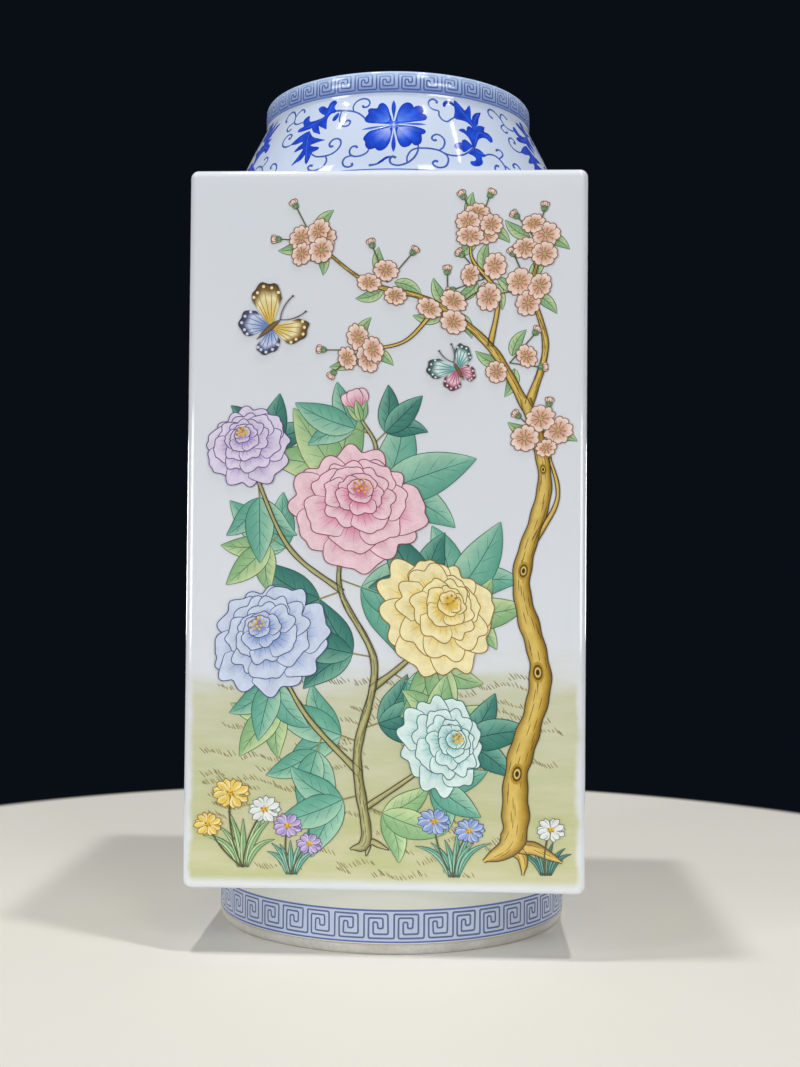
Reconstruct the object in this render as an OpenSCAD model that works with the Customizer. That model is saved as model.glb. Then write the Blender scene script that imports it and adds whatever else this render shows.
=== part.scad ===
// Cong vase: a square porcelain body built from slabs, on a round foot ring and under a round neck.
// Millimetres, Z up. The origin is on the table, at the middle of the foot. The front faces -Y.

/* [Body] */
// Outside width of the square body
body_w = 124; // [100:1:180]
// Height of the square body, from its lower edge to the shoulder
body_h = 223.5; // [120:0.5:320]
// Thickness of the four side slabs
wall_t = 6; // [4:0.5:10]
// Radius of the softened outer edges of the body
edge_r = 2.5; // [1:0.1:2.5]

/* [Shoulder and floor] */
// Thickness of the shoulder slab
shoulder_t = 7; // [4:0.5:12]
// How far the shoulder slab reaches in past the neck's inner wall
mouth_ledge = 5; // [2:0.5:15]
// Thickness of the floor slab
floor_t = 7; // [4:0.5:12]

/* [Neck] */
// Height of the neck above the shoulder
neck_h = 36.5; // [28:0.5:60]
// How far the neck's base stands in from the sides of the body
neck_inset = 4.3; // [2.5:0.1:10]
// How far the rim stands in from the neck's base
rim_inset = 11.4; // [0:0.1:20]
// Height of the upright rim band
rim_band_h = 7.2; // [4:0.2:10]
// Wall thickness of the neck, measured level
neck_t = 5; // [3.5:0.5:8]
// How high the flank rises from the shoulder before it turns inward
flank_rise = 12; // [4:0.5:16]
// How far that rising part leans inward
flank_lean = 1.5; // [0:0.1:4]
// How softly the flank turns up into the rim band
waist_rise = 3; // [0.5:0.1:6]
// Radius of the rounded lip
lip_r = 1.6; // [0.4:0.1:2.4]

/* [Foot] */
// Height of the foot ring
foot_h = 20; // [10:1:40]
// How far the foot ring stands in from the sides of the body
foot_inset = 2.6; // [2.5:0.1:10]
// Wall thickness of the foot ring
foot_t = 5.5; // [4:0.5:10]
// Height of the bare lower edge
bare_h = 3.4; // [1:0.2:6]
// How far the bare edge is tucked in
bare_tuck = 1.6; // [0.2:0.1:2]
// Bevel on the inner lower edge of the foot
foot_bevel = 1; // [0.2:0.1:1.5]

/* [Hidden] */
$fn = 96;
// Steps along each curve of a turned profile
curve_steps = 10;
// How far the mitring cut runs past the faces it passes through
cut_over = 1;
glaze_white = "#DDE2E6";
collar_white = "#D2DAE8";

half_w = body_w / 2;
body_z = foot_h;
shoulder_z = foot_h + body_h;
inside_w = body_w - 2 * wall_t;
neck_base_r = half_w - neck_inset;
mouth_r = neck_base_r - neck_t - mouth_ledge;
rim_r = neck_base_r - rim_inset;
band_z = neck_h - rim_band_h;
foot_r = half_w - foot_inset;

// Points along a cubic curve from a to d, pulled towards b and c
function curve(a, b, c, d) =
    [for (i = [0 : curve_steps])
        let (t = i / curve_steps, s = 1 - t)
        s * s * s * a + 3 * s * s * t * b + 3 * s * t * t * c + t * t * t * d];

// Points along a quarter circle, from one angle to the next
function quarter(centre, radius, from, to) =
    [for (i = [0 : curve_steps])
        let (angle = from + (to - from) * i / curve_steps)
        centre + radius * [cos(angle), sin(angle)]];

// Side of the neck from the shoulder up to the rim band, moved inward by the given amount
function flank(inward) =
    curve([neck_base_r - inward, 0],
          [neck_base_r - inward - flank_lean, flank_rise],
          [rim_r - inward, band_z - waist_rise],
          [rim_r - inward, band_z]);

function reversed(points) = [for (i = [len(points) - 1 : -1 : 0]) points[i]];

// Rectangle with softened corners, centred
module soft_rectangle(width, height) {
    x = width / 2 - edge_r;
    y = height / 2 - edge_r;
    square([width, 2 * y], center = true);
    square([2 * x, height], center = true);
    for (side = [-x, x], end = [-y, y])
        translate([side, end]) circle(r = edge_r);
}

// The body's solid block, softened along all its outer edges
module soft_block() {
    middle_z = body_z + body_h / 2;
    translate([0, 0, middle_z])
        intersection() {
            linear_extrude(body_h, center = true) soft_rectangle(body_w, body_w);
            rotate([90, 0, 0]) linear_extrude(body_w, center = true) soft_rectangle(body_w, body_h);
            rotate([90, 0, 90]) linear_extrude(body_w, center = true) soft_rectangle(body_w, body_h);
        }
}

// One side of the body, cut to a mitre at both upright edges
module side_panel() {
    outer = half_w + cut_over;
    inner = inside_w / 2;
    intersection() {
        soft_block();
        translate([0, 0, body_z - cut_over])
            linear_extrude(body_h + 2 * cut_over)
                polygon([[-outer, -outer], [outer, -outer], [inner, -inner], [-inner, -inner]]);
    }
}

module front_panel() {
    color(glaze_white) side_panel();
}

module right_panel() {
    color(glaze_white) rotate(90) side_panel();
}

module back_panel() {
    color(glaze_white) rotate(180) side_panel();
}

module left_panel() {
    color(glaze_white) rotate(270) side_panel();
}

// Square slab that fills the inside of the four panels
module inner_slab(z, thickness) {
    translate([-inside_w / 2, -inside_w / 2, z]) cube([inside_w, inside_w, thickness]);
}

module shoulder_slab() {
    color(glaze_white)
        difference() {
            inner_slab(shoulder_z - shoulder_t, shoulder_t);
            translate([0, 0, shoulder_z - shoulder_t - cut_over])
                cylinder(r = mouth_r, h = shoulder_t + 2 * cut_over);
        }
}

module floor_slab() {
    color(glaze_white) inner_slab(body_z, floor_t);
}

module neck() {
    lip_z = neck_h - lip_r;
    outline = concat(
        flank(0),
        quarter([rim_r - lip_r, lip_z], lip_r, 0, 90),
        quarter([rim_r - neck_t + lip_r, lip_z], lip_r, 90, 180),
        reversed(flank(neck_t)));
    color(collar_white) translate([0, 0, shoulder_z]) rotate_extrude() polygon(outline);
}

module foot_ring() {
    inner_r = foot_r - foot_t;
    tuck = curve([foot_r - bare_tuck, 0],
                 [foot_r - bare_tuck / 2, 0],
                 [foot_r, bare_h / 2],
                 [foot_r, bare_h]);
    outline = concat(
        tuck,
        [[foot_r, foot_h], [inner_r, foot_h], [inner_r, foot_bevel], [inner_r + foot_bevel, 0]]);
    color(collar_white) rotate_extrude() polygon(outline);
}

front_panel();
right_panel();
back_panel();
left_panel();
shoulder_slab();
floor_slab();
neck();
foot_ring();
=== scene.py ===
"""Cong vase: square slab-built porcelain body, round neck and foot, painted and glazed."""
import math
import random

import bmesh
import bpy
import numpy as np
from mathutils import Matrix, Vector


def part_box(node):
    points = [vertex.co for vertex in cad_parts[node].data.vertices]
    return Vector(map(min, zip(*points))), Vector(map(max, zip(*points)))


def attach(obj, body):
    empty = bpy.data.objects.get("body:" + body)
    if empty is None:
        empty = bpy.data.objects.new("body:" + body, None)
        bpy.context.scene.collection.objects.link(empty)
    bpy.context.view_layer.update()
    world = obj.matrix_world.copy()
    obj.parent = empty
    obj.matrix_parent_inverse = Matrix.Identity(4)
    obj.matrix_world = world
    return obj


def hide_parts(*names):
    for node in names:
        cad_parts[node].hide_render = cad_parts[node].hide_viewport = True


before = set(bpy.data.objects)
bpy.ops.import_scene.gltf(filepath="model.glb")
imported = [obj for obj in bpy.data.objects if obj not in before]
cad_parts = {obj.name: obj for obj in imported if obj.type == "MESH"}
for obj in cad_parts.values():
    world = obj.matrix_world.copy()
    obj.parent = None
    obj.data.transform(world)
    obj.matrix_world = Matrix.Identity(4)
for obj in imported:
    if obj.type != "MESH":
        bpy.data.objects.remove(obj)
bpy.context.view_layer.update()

# Sizes in millimetres. These come from the frame
MM = 0.001
PANEL_LOW, PANEL_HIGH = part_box("front_panel")
NECK_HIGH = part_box("neck")[1]
FOOT_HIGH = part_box("foot_ring")[1]
HALF_W = -PANEL_LOW[1] / MM
INNER_W = -PANEL_HIGH[1] / MM
BODY_Z = PANEL_LOW[2] / MM
SHOULDER_Z = PANEL_HIGH[2] / MM
TOP_Z = NECK_HIGH[2] / MM
NECK_R = NECK_HIGH[0] / MM
FOOT_R = FOOT_HIGH[0] / MM
# These repeat the part's source
EDGE_R = 2.5
RIM_INSET = 11.4
RIM_BAND = 7.2
NECK_WALL = 5.0
FLANK_RISE = 12.0
FLANK_LEAN = 1.5
WAIST_RISE = 3.0
LIP_R = 1.6
FOOT_WALL = 5.5
BARE_H = 3.4
BARE_TUCK = 1.6
FOOT_BEVEL = 1.0
# These are finer than the solids: hollow sides, a fuller rim band on a short upright part, glaze edges
PANEL_SAG = 0.22
WAIST_UPRIGHT = 0.8
LIP_LEAN = math.radians(6)
SEAM_BEAD = 0.9
SEAM_DEPTH = 0.4
GLAZE_ROLL = 0.2
GLAZE_EDGE = 0.07
OVERLAP = 0.1
LATHE_STEPS = 288
# These follow from the others
RIM_R = NECK_R - RIM_INSET
BAND_Z = TOP_Z - RIM_BAND
LIP_Z = TOP_Z - LIP_R * (1 - math.sin(LIP_LEAN))
BAND_BULGE = math.tan(LIP_LEAN) * (LIP_Z - BAND_Z) / 4


def linear(code):
    """Linear colour from a hex code."""
    parts = [int(code[i:i + 2], 16) / 255 for i in (0, 2, 4)]
    return np.array([c / 12.92 if c <= 0.04045 else ((c + 0.055) / 1.055) ** 2.4 for c in parts])


def rgba(code):
    return (*linear(code), 1.0)


# Node materials

def node(tree, kind, inputs=None, **settings):
    """Adds a node with its settings. Each input gets a value, or a link from another node."""
    made = tree.nodes.new(kind)
    for key, value in settings.items():
        setattr(made, key, value)
    for key, value in (inputs or {}).items():
        if isinstance(value, bpy.types.NodeSocket):
            tree.links.new(value, made.inputs[key])
        else:
            made.inputs[key].default_value = value
    return made


def blend(tree, factor, a, b):
    """Colour a turning into colour b with the factor."""
    return node(tree, "ShaderNodeMix", {0: factor, 6: a, 7: b}, data_type="RGBA").outputs[2]


def noise(tree, where, scale, detail=3.0, rough=0.55):
    inputs = {"Vector": where, "Scale": scale, "Detail": detail, "Roughness": rough}
    return node(tree, "ShaderNodeTexNoise", inputs).outputs["Fac"]


def ramp(tree, value, span, to=(0.0, 1.0)):
    """Value eased from one span to another, and kept inside it."""
    inputs = {"Value": value, "From Min": span[0], "From Max": span[1], "To Min": to[0], "To Max": to[1]}
    return node(tree, "ShaderNodeMapRange", inputs, interpolation_type="SMOOTHSTEP").outputs["Result"]


def math_node(tree, operation, a, b=0.0):
    return node(tree, "ShaderNodeMath", {0: a, 1: b}, operation=operation).outputs[0]


def times(tree, product, *factors):
    for factor in factors:
        product = math_node(tree, "MULTIPLY", product, factor)
    return product


def scaled(tree, vector, by):
    return node(tree, "ShaderNodeVectorMath", {0: vector, 1: by}, operation="MULTIPLY").outputs[0]


def length(tree, vector):
    return node(tree, "ShaderNodeVectorMath", {0: vector}, operation="LENGTH").outputs["Value"]


def bump(tree, height, strength, distance):
    inputs = {"Height": height, "Strength": strength, "Distance": distance}
    return node(tree, "ShaderNodeBump", inputs).outputs["Normal"]


def start_material(name, roughness):
    """Empty material with a principled shader. Returns the material, its nodes, shader and place."""
    material = bpy.data.materials.new(name)
    material.use_nodes = True
    tree = material.node_tree
    shader = tree.nodes["Principled BSDF"]
    shader.inputs["Roughness"].default_value = roughness
    shader.inputs["IOR"].default_value = 1.5
    place = node(tree, "ShaderNodeTexCoord").outputs["Object"]
    return material, tree, shader, place


def dress(tree, shader, colour, gloss=None, relief=None):
    """Links what was made to the shader."""
    for name, socket in (("Base Color", colour), ("Roughness", gloss), ("Normal", relief)):
        if socket is not None:
            tree.links.new(socket, shader.inputs[name])


def glaze(name, tones=("DDE3EB", "E7EBF1"), ground=False, washes=()):
    """Clear glaze over white porcelain, with fine specks and a faint ripple. Washes are for band_wash."""
    material, tree, shader, place = start_material(name, 0.07)
    axes = node(tree, "ShaderNodeSeparateXYZ", {0: place}).outputs
    colour = blend(tree, noise(tree, place, 14.0, 4.0), rgba(tones[0]), rgba(tones[1]))
    specks = ramp(tree, noise(tree, place, 1500.0, 1.0), (0.78, 0.84), (0.0, 0.35))
    colour = blend(tree, specks, colour, rgba("9C9788"))
    if ground:
        colour = ground_wash(tree, place, axes, colour)
    for wash in washes:
        colour = band_wash(tree, place, axes["Z"], colour, *wash)
    gloss = ramp(tree, noise(tree, place, 60.0), (0.3, 0.7), (0.05, 0.09))
    dress(tree, shader, colour, gloss, bump(tree, noise(tree, place, 45.0, 2.0), 0.05, 0.002))
    return material


def band_wash(tree, place, height, colour, low, high, soft, inner, tone, deep):
    """Soft-edged band of colour between two heights, on what lies outside the inner radius."""
    def edge(value, at, to=(0.0, 1.0)):
        return ramp(tree, value, ((at - soft) * MM, (at + soft) * MM), to)
    level = math_node(tree, "ADD", height, times(tree, noise(tree, place, 160.0, 2.0), 0.6 * MM))
    reach = length(tree, scaled(tree, place, (1.0, 1.0, 0.0)))
    mask = times(tree, edge(level, low), edge(level, high, (1.0, 0.0)), edge(reach, inner))
    tint = blend(tree, noise(tree, place, 90.0, 5.0, 0.7), rgba(tone), rgba(deep))
    return blend(tree, mask, colour, tint)


# Spans in metres where the painted ground fades out at its top, at the panel's sides and at its foot,
# and where it thins upwards
WASH_TOP = (0.094, 0.110)
WASH_SIDE = (0.0605, 0.0628)
WASH_FOOT = (0.0215, 0.0248)
WASH_DEPTH = (0.03, 0.09)


def ground_wash(tree, place, axes, colour):
    """Pale yellow-green ground at the foot of a painted panel, brushed on in level strokes."""
    across = math_node(tree, "MINIMUM", *(math_node(tree, "ABSOLUTE", axes[axis]) for axis in "XY"))
    brushed = scaled(tree, place, (1.0, 1.0, 5.0))
    level = math_node(tree, "ADD", axes["Z"], times(tree, noise(tree, brushed, 22.0, 4.0), 30 * MM))
    margin = math_node(tree, "ADD", across, times(tree, noise(tree, place, 80.0), 4 * MM))
    below = ramp(tree, level, WASH_TOP, (1.0, 0.0))
    inside = ramp(tree, margin, WASH_SIDE, (1.0, 0.0))
    above = ramp(tree, axes["Z"], WASH_FOOT)
    strength = ramp(tree, axes["Z"], WASH_DEPTH, (1.0, 0.75))
    patches = ramp(tree, noise(tree, brushed, 30.0, 5.0, 0.65), (0.32, 0.68))
    tint = blend(tree, patches, rgba("CFCEA9"), rgba("C1C590"))
    return blend(tree, times(tree, below, inside, above, strength), colour, tint)


def paint_material(name, roughness, grain, strength):
    """Painted colour, taken from the strokes themselves and broken up like a brushed wash."""
    material, tree, shader, place = start_material(name, roughness)
    tint = node(tree, "ShaderNodeVertexColor", layer_name="tint").outputs["Color"]
    mottle = ramp(tree, noise(tree, place, grain, 5.0, 0.7), (0.25, 0.75), (1.0 - strength, 1.0 + strength))
    gloss = ramp(tree, noise(tree, place, grain / 4), (0.3, 0.7), (roughness - 0.02, roughness + 0.03))
    dress(tree, shader, scaled(tree, tint, mottle), gloss)
    return material


def bare_clay():
    """Unglazed porcelain of the foot's lower edge, grey-buff with kiln dust and fine pits."""
    material, tree, shader, place = start_material("bare_porcelain", 0.8)
    grain = noise(tree, place, 700.0, 6.0, 0.7)
    colour = blend(tree, ramp(tree, grain, (0.3, 0.7)), rgba("B7B6B1"), rgba("C9C8C4"))
    stain = ramp(tree, noise(tree, place, 55.0, 4.0), (0.45, 0.7), (0.0, 0.6))
    colour = blend(tree, stain, colour, rgba("A9A49B"))
    height = node(tree, "ShaderNodeSeparateXYZ", {0: place}).outputs["Z"]
    edge = ramp(tree, height, ((BARE_H - 0.7) * MM, BARE_H * MM), (0.0, 0.55))
    colour = blend(tree, edge, colour, rgba("B7A080"))
    gloss = ramp(tree, grain, (0.3, 0.7), (0.7, 0.95))
    dress(tree, shader, colour, gloss, bump(tree, grain, 0.5, 0.0004))
    return material


# Pieces

def add_piece(name, mesh, material, replaced=()):
    """Makes the piece, gives it its material, and has it ride on the vase."""
    piece = bpy.data.objects.new(name, mesh)
    bpy.context.scene.collection.objects.link(piece)
    mesh.materials.append(material)
    mesh.shade_smooth()
    mesh.set_sharp_from_angle(angle=math.radians(35))
    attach(piece, "root")
    if replaced:
        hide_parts(*replaced)
    return piece


def sag(across, height):
    """How far a slab has settled inward at a place on its face, in mm."""
    x = np.clip(np.abs(across) / (HALF_W - EDGE_R), 0, 1)
    middle = (BODY_Z + SHOULDER_Z) / 2
    z = np.clip(np.abs(height - middle) / ((SHOULDER_Z - BODY_Z) / 2 - EDGE_R), 0, 1)
    return PANEL_SAG * (1 - x ** 2) ** 2 * (1 - z ** 4) ** 2


def slab_mesh(name, turn):
    """One side of the body, softened at its outer edges and mitred at the corners."""
    corner = HALF_W - EDGE_R
    quarter = np.radians(np.linspace(0, 90, 11))
    eighth = np.radians(np.linspace(0, 45, 7))
    rows = [(BODY_Z, -math.pi / 2, INNER_W)]
    rows += [(BODY_Z + EDGE_R, -a, corner) for a in quarter[::-1]]
    rows += [(z, 0.0, corner) for z in np.linspace(BODY_Z + EDGE_R, SHOULDER_Z - EDGE_R, 41)[1:-1]]
    rows += [(SHOULDER_Z - EDGE_R, a, corner) for a in quarter]
    rows += [(SHOULDER_Z, math.pi / 2, INNER_W)]
    columns = [(-corner, -a) for a in eighth[::-1]]
    columns += [(x, 0.0) for x in np.linspace(-corner, corner, 25)[1:-1]]
    columns += [(corner, a) for a in eighth]
    around = Matrix.Rotation(math.radians(turn), 4, "Z")
    shape = bmesh.new()
    spots = []
    for z, tilt, depth in rows:
        radius = EDGE_R if depth == corner else 0.0
        out = radius * math.cos(tilt)
        rise = radius * math.sin(tilt)
        line = []
        for x, swing in columns:
            sunk = float(sag(x, z)) * math.cos(tilt) * math.cos(swing)
            place_x = x * depth / corner + out * math.sin(swing)
            place_y = -depth - out * math.cos(swing) + sunk
            line.append(shape.verts.new(around @ Vector((place_x, place_y, z + rise)) * MM))
        spots.append(line)
    for low, high in zip(spots, spots[1:]):
        for i in range(len(columns) - 1):
            shape.faces.new((low[i], low[i + 1], high[i + 1], high[i]))
    shape.faces.new([line[0] for line in spots])
    shape.faces.new([line[-1] for line in reversed(spots)])
    shape.faces.new(spots[-1] + spots[0][::-1])
    bmesh.ops.remove_doubles(shape, verts=shape.verts, dist=1e-7)
    bmesh.ops.recalc_face_normals(shape, faces=shape.faces)
    mesh = bpy.data.meshes.new(name)
    shape.to_mesh(mesh)
    shape.free()
    return mesh


def lathe_mesh(name, outline):
    """Closed outline of (radius, height) in mm, turned about the vase's axis."""
    outline = np.array(outline)
    count = len(outline)
    turn = np.linspace(0, 2 * math.pi, LATHE_STEPS, endpoint=False)
    x = np.outer(np.sin(turn), outline[:, 0])
    y = -np.outer(np.cos(turn), outline[:, 0])
    z = np.tile(outline[:, 1], (LATHE_STEPS, 1))
    spots = np.stack([x, y, z], axis=2).reshape(-1, 3) * MM
    faces = []
    for i in range(LATHE_STEPS):
        a = i * count
        b = (i + 1) % LATHE_STEPS * count
        faces += [(a + k, b + k, b + (k + 1) % count, a + (k + 1) % count) for k in range(count)]
    mesh = bpy.data.meshes.new(name)
    mesh.from_pydata(spots.tolist(), [], faces)
    mesh.validate()
    return mesh


def cubic(a, b, c, d, steps):
    """Points along a cubic curve from a to d, pulled towards b and c."""
    t = np.linspace(0, 1, steps)[:, None]
    a, b, c, d = (np.array(p, dtype=float) for p in (a, b, c, d))
    return (1 - t) ** 3 * a + 3 * (1 - t) ** 2 * t * b + 3 * (1 - t) * t ** 2 * c + t ** 3 * d


def flank(inward, steps):
    """Neck's side from the shoulder to the rim band, as (radius, height) points."""
    base, rim = NECK_R - inward, RIM_R - inward
    return cubic((base, SHOULDER_Z), (base - FLANK_LEAN, SHOULDER_Z + FLANK_RISE),
                 (rim, BAND_Z - WAIST_RISE), (rim, BAND_Z - WAIST_UPRIGHT), steps)


def arc(centre, radius, start, end):
    angles = np.radians(np.linspace(start, end, 9))
    return [(centre[0] + radius * math.cos(a), centre[1] + radius * math.sin(a)) for a in angles]


FLANK = flank(0, 80)


def neck_radius(height):
    return np.interp(height, FLANK[:, 1], FLANK[:, 0])


def rim_radius(height):
    """Outer radius of the rim band, a little full in its middle, and of the lip above it."""
    share = (height - BAND_Z) / (LIP_Z - BAND_Z)
    turned = np.clip((height - TOP_Z + LIP_R) / LIP_R, -1, 1)
    lip = RIM_R + LIP_R * (np.sqrt(1 - turned ** 2) - math.cos(LIP_LEAN))
    return np.where(height < LIP_Z, RIM_R + 4 * BAND_BULGE * share * (1 - share), lip)


def build_body():
    glazed = glaze("panel_glaze", ground=True)
    for index, side in enumerate(("front", "right", "back", "left")):
        name = side + "_slab_glazed"
        add_piece(name, slab_mesh(name, 90 * index), glazed, [side + "_panel"])
    plain = glaze("plain_glaze")
    for name in ("shoulder_slab", "floor_slab"):
        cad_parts[name].data.materials.clear()
        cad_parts[name].data.materials.append(plain)


def build_neck():
    outline = [tuple(p) for p in FLANK]
    outline += [(RIM_R, BAND_Z - OVERLAP)]
    outline += [(float(rim_radius(z)), z) for z in np.linspace(BAND_Z, LIP_Z, 13)]
    lip_middle = RIM_R - LIP_R * math.cos(LIP_LEAN)
    outline += arc((lip_middle, TOP_Z - LIP_R), LIP_R, math.degrees(LIP_LEAN), 90)[1:]
    outline += arc((RIM_R - NECK_WALL + LIP_R, TOP_Z - LIP_R), LIP_R, 90, 180)
    outline += [tuple(p) for p in flank(NECK_WALL, 40)[::-1]]
    # The rim's wash is deep at its lower edge and pales towards the lip, where the paler wash is a painted
    # highlight
    middle_r = RIM_R - NECK_WALL / 2
    rim_wash = (BAND_Z + 0.4, TOP_Z + 5, 0.25, middle_r, "93A9DC", "8399D0")
    lip_highlight_wash = (BAND_Z + 3.2, TOP_Z + 9, 3.2, middle_r, "CCE0FF", "BED4FA")
    glazed = glaze("neck_glaze", ("C7D4EA", "D0DCF0"), washes=[rim_wash, lip_highlight_wash])
    add_piece("neck_glazed", lathe_mesh("neck_glazed", outline), glazed, ["neck"])
    inner, outer = NECK_R - SEAM_DEPTH, NECK_R + SEAM_BEAD
    fillet = [(inner, SHOULDER_Z - OVERLAP), (outer, SHOULDER_Z - OVERLAP)]
    fillet += arc((outer, SHOULDER_Z + SEAM_BEAD), SEAM_BEAD, 270, 180)
    fillet += [(inner, SHOULDER_Z + SEAM_BEAD)]
    add_piece("neck_seam", lathe_mesh("neck_seam", fillet), glazed)


def build_foot():
    inner = FOOT_R - FOOT_WALL
    # The foot's glaze and its band wash are painted darker and warmer: painted shade under the body and warm
    # light from the table
    band = (FOOT_LINES[0] + 0.2, FOOT_LINES[1] + 0.1, 0.2, FOOT_R - 1, "BDC6DB", "ADB8D2")
    glazed = glaze("foot_glaze", ("C5C8BF", "CED1C8"), washes=[band])
    upper = [(FOOT_R - 0.3, BARE_H - OVERLAP)]
    upper += arc((FOOT_R - GLAZE_ROLL, BARE_H + 0.3), GLAZE_ROLL + GLAZE_EDGE, -80, 10)
    upper += [(FOOT_R, BARE_H + 0.9), (FOOT_R, BODY_Z), (inner, BODY_Z), (inner, BARE_H - OVERLAP)]
    add_piece("foot_glazed", lathe_mesh("foot_glazed", upper), glazed, ["foot_ring"])
    tuck = cubic((FOOT_R - BARE_TUCK, 0), (FOOT_R - BARE_TUCK / 2, 0),
                 (FOOT_R, BARE_H / 2), (FOOT_R, BARE_H), 12)
    lower = [tuple(p) for p in tuck]
    lower += [(inner, BARE_H), (inner, FOOT_BEVEL), (inner + FOOT_BEVEL, 0)]
    bare = lathe_mesh("foot_bare_edge", lower)
    add_piece("foot_bare_edge", bare, bare_clay(), ["foot_ring"])


# Painted decoration

# Filled shapes are cut in this many rounds, wherever an edge is longer than the pitch, in mm
CUT_ROUNDS = 5
CUT_PITCH = 1.3
# Ends of a stroke that does not narrow
EVEN = (1, 1)


class Paint:
    """Painted shapes on one surface, gathered into one piece. Flat places are (across, height) in mm."""

    def __init__(self, surface):
        self.surface = surface
        self.flat, self.faces, self.tints, self.cells = [], [], [], []
        self.cell_of = {}
        self.total = 0

    def add(self, places, tints, shares, faces, lift, shared=None):
        """Adds places with their colours, their shares of the shape's two directions, and the faces between.

        Each shape has its own cell in the layout for baking. Shapes that share a colour share a cell."""
        cell = self.cell_of.setdefault(shared or ("own", len(self.cell_of)), len(self.cell_of))
        count = len(places)
        self.flat.append(np.column_stack([places, np.full(count, lift)]))
        self.tints.append(tints)
        self.cells.append(np.column_stack([np.full(count, cell), shares]))
        self.faces += (np.array(faces) + self.total).tolist()
        self.total += count

    def grid(self, u, v, tint, lift, shared=None):
        """Sheet of rows x columns places, with a colour at each."""
        area = ((u[:-1, 1:] - u[:-1, :-1]) * (v[1:, :-1] - v[:-1, :-1])
                - (v[:-1, 1:] - v[:-1, :-1]) * (u[1:, :-1] - u[:-1, :-1]))
        if np.sum(area) < 0:
            u, v, tint = u[:, ::-1], v[:, ::-1], tint[:, ::-1]
        rows, columns = u.shape
        down, along = np.meshgrid(np.linspace(0, 1, rows), np.linspace(0, 1, columns), indexing="ij")
        first = (np.arange(rows - 1)[:, None] * columns + np.arange(columns - 1)).ravel()
        faces = np.stack([first, first + 1, first + columns + 1, first + columns], axis=1)
        places = np.column_stack([u.ravel(), v.ravel()])
        shares = np.column_stack([along.ravel(), down.ravel()])
        self.add(places, tint.reshape(-1, 3), shares, faces, lift, shared)

    def shape(self, outline, tones, lift):
        """Filled outline, cut finely enough for a round surface. Its colour drifts between two tones."""
        turn = np.roll(outline, -1, axis=0)
        if np.sum(outline[:, 0] * turn[:, 1] - outline[:, 1] * turn[:, 0]) < 0:
            outline = outline[::-1]
        sheet = bmesh.new()
        sheet.faces.new([sheet.verts.new((u, v, 0)) for u, v in outline]).normal_update()
        for _ in range(CUT_ROUNDS):
            bmesh.ops.triangulate(sheet, faces=sheet.faces[:])
            wide = [edge for edge in sheet.edges if edge.calc_length() > CUT_PITCH]
            bmesh.ops.subdivide_edges(sheet, edges=wide, cuts=1)
        bmesh.ops.triangulate(sheet, faces=sheet.faces[:])
        sheet.verts.index_update()
        places = np.array([vert.co[:2] for vert in sheet.verts])
        faces = [[vert.index for vert in face.verts] for face in sheet.faces]
        sheet.free()
        low, high = places.min(axis=0), places.max(axis=0)
        drift = 0.5 + 0.5 * np.sin(1.1 * places[:, :1]) * np.cos(0.9 * places[:, 1:])
        tints = tones[0] + (tones[1] - tones[0]) * drift
        self.add(places, tints, (places - low) / (high - low), faces, lift)

    def stroke(self, path, width, tint, lift, ends=(0.3, 0.1)):
        """Brush line of one colour, or of a colour at each place. Its ends narrow to the given shares."""
        path = np.array(path, dtype=float)
        step = np.diff(path, axis=0)
        step /= np.maximum(np.linalg.norm(step, axis=1, keepdims=True), 1e-9)
        after = np.vstack([step, step[-1:]])
        way = np.vstack([step[:1], step]) + after
        way /= np.maximum(np.linalg.norm(way, axis=1, keepdims=True), 1e-9)
        side = np.stack([-way[:, 1], way[:, 0]], axis=1)
        mitre = 1 / np.maximum(np.sum(way * after, axis=1), 0.6)
        share = np.linspace(0, 1, len(path))
        half = width / 2 * np.interp(share, [0, 0.2, 0.75, 1], [ends[0], 1, 1, ends[1]]) * mitre
        spots = np.stack([path - side * half[:, None], path + side * half[:, None]], axis=1)
        tints = np.broadcast_to(tint, (len(path), 3))
        shared = tuple(np.round(tint, 4)) if np.ndim(tint) == 1 else None
        self.grid(spots[..., 0], spots[..., 1], np.repeat(tints[:, None], 2, axis=1), lift, shared)

    def blade(self, base, tip, width, bend, tones, lift, fullness=0.8, rows=13, tip_tone=None):
        """Leaf shape from base to tip, bowed by a share of its length. Tones: rib, one edge, other edge."""
        base, tip = point(base), point(tip)
        s = np.linspace(0, 1, rows)[:, None]
        t = np.linspace(-1, 1, 5)[None, :]
        line = blade_line(base, tip, bend, s)
        way = np.gradient(line, axis=0)
        way /= np.linalg.norm(way, axis=1, keepdims=True)
        half = width / 2 * np.sin(math.pi * np.clip(s, 0.004, 0.996) ** fullness) ** 0.85
        u = line[:, :1] - way[:, 1:] * half * t
        v = line[:, 1:] + way[:, :1] * half * t
        rib, low, high = tones
        edge = np.where((t < 0)[..., None], low, high)
        tint = np.broadcast_to(rib + (edge - rib) * np.abs(t)[..., None], (rows, 5, 3))
        if tip_tone is not None:
            tint = tint + (tip_tone - tint) * (s ** 2.5)[..., None]
        self.grid(u, v, tint, lift)
        return line, np.stack([u[:, 0], v[:, 0]], axis=1), np.stack([u[:, -1], v[:, -1]], axis=1)

    def fan(self, centre, rays, reach, stops, lift, rings=7, shared=None, inner=0.02):
        """Petal spread from a centre along its rays: reach of each, and colours at shares of the reach."""
        s = np.linspace(inner, 1, rings)[:, None]
        u = centre[0] + s * (reach * rays[:, 0])[None, :]
        v = centre[1] + s * (reach * rays[:, 1])[None, :]
        shares = [share for share, _ in stops]
        colours = np.array([colour for _, colour in stops])
        tint = np.stack([np.interp(s[:, 0], shares, colours[:, i]) for i in range(3)], axis=1)
        self.grid(u, v, np.repeat(tint[:, None, :], len(rays), axis=1), lift, shared)

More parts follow.
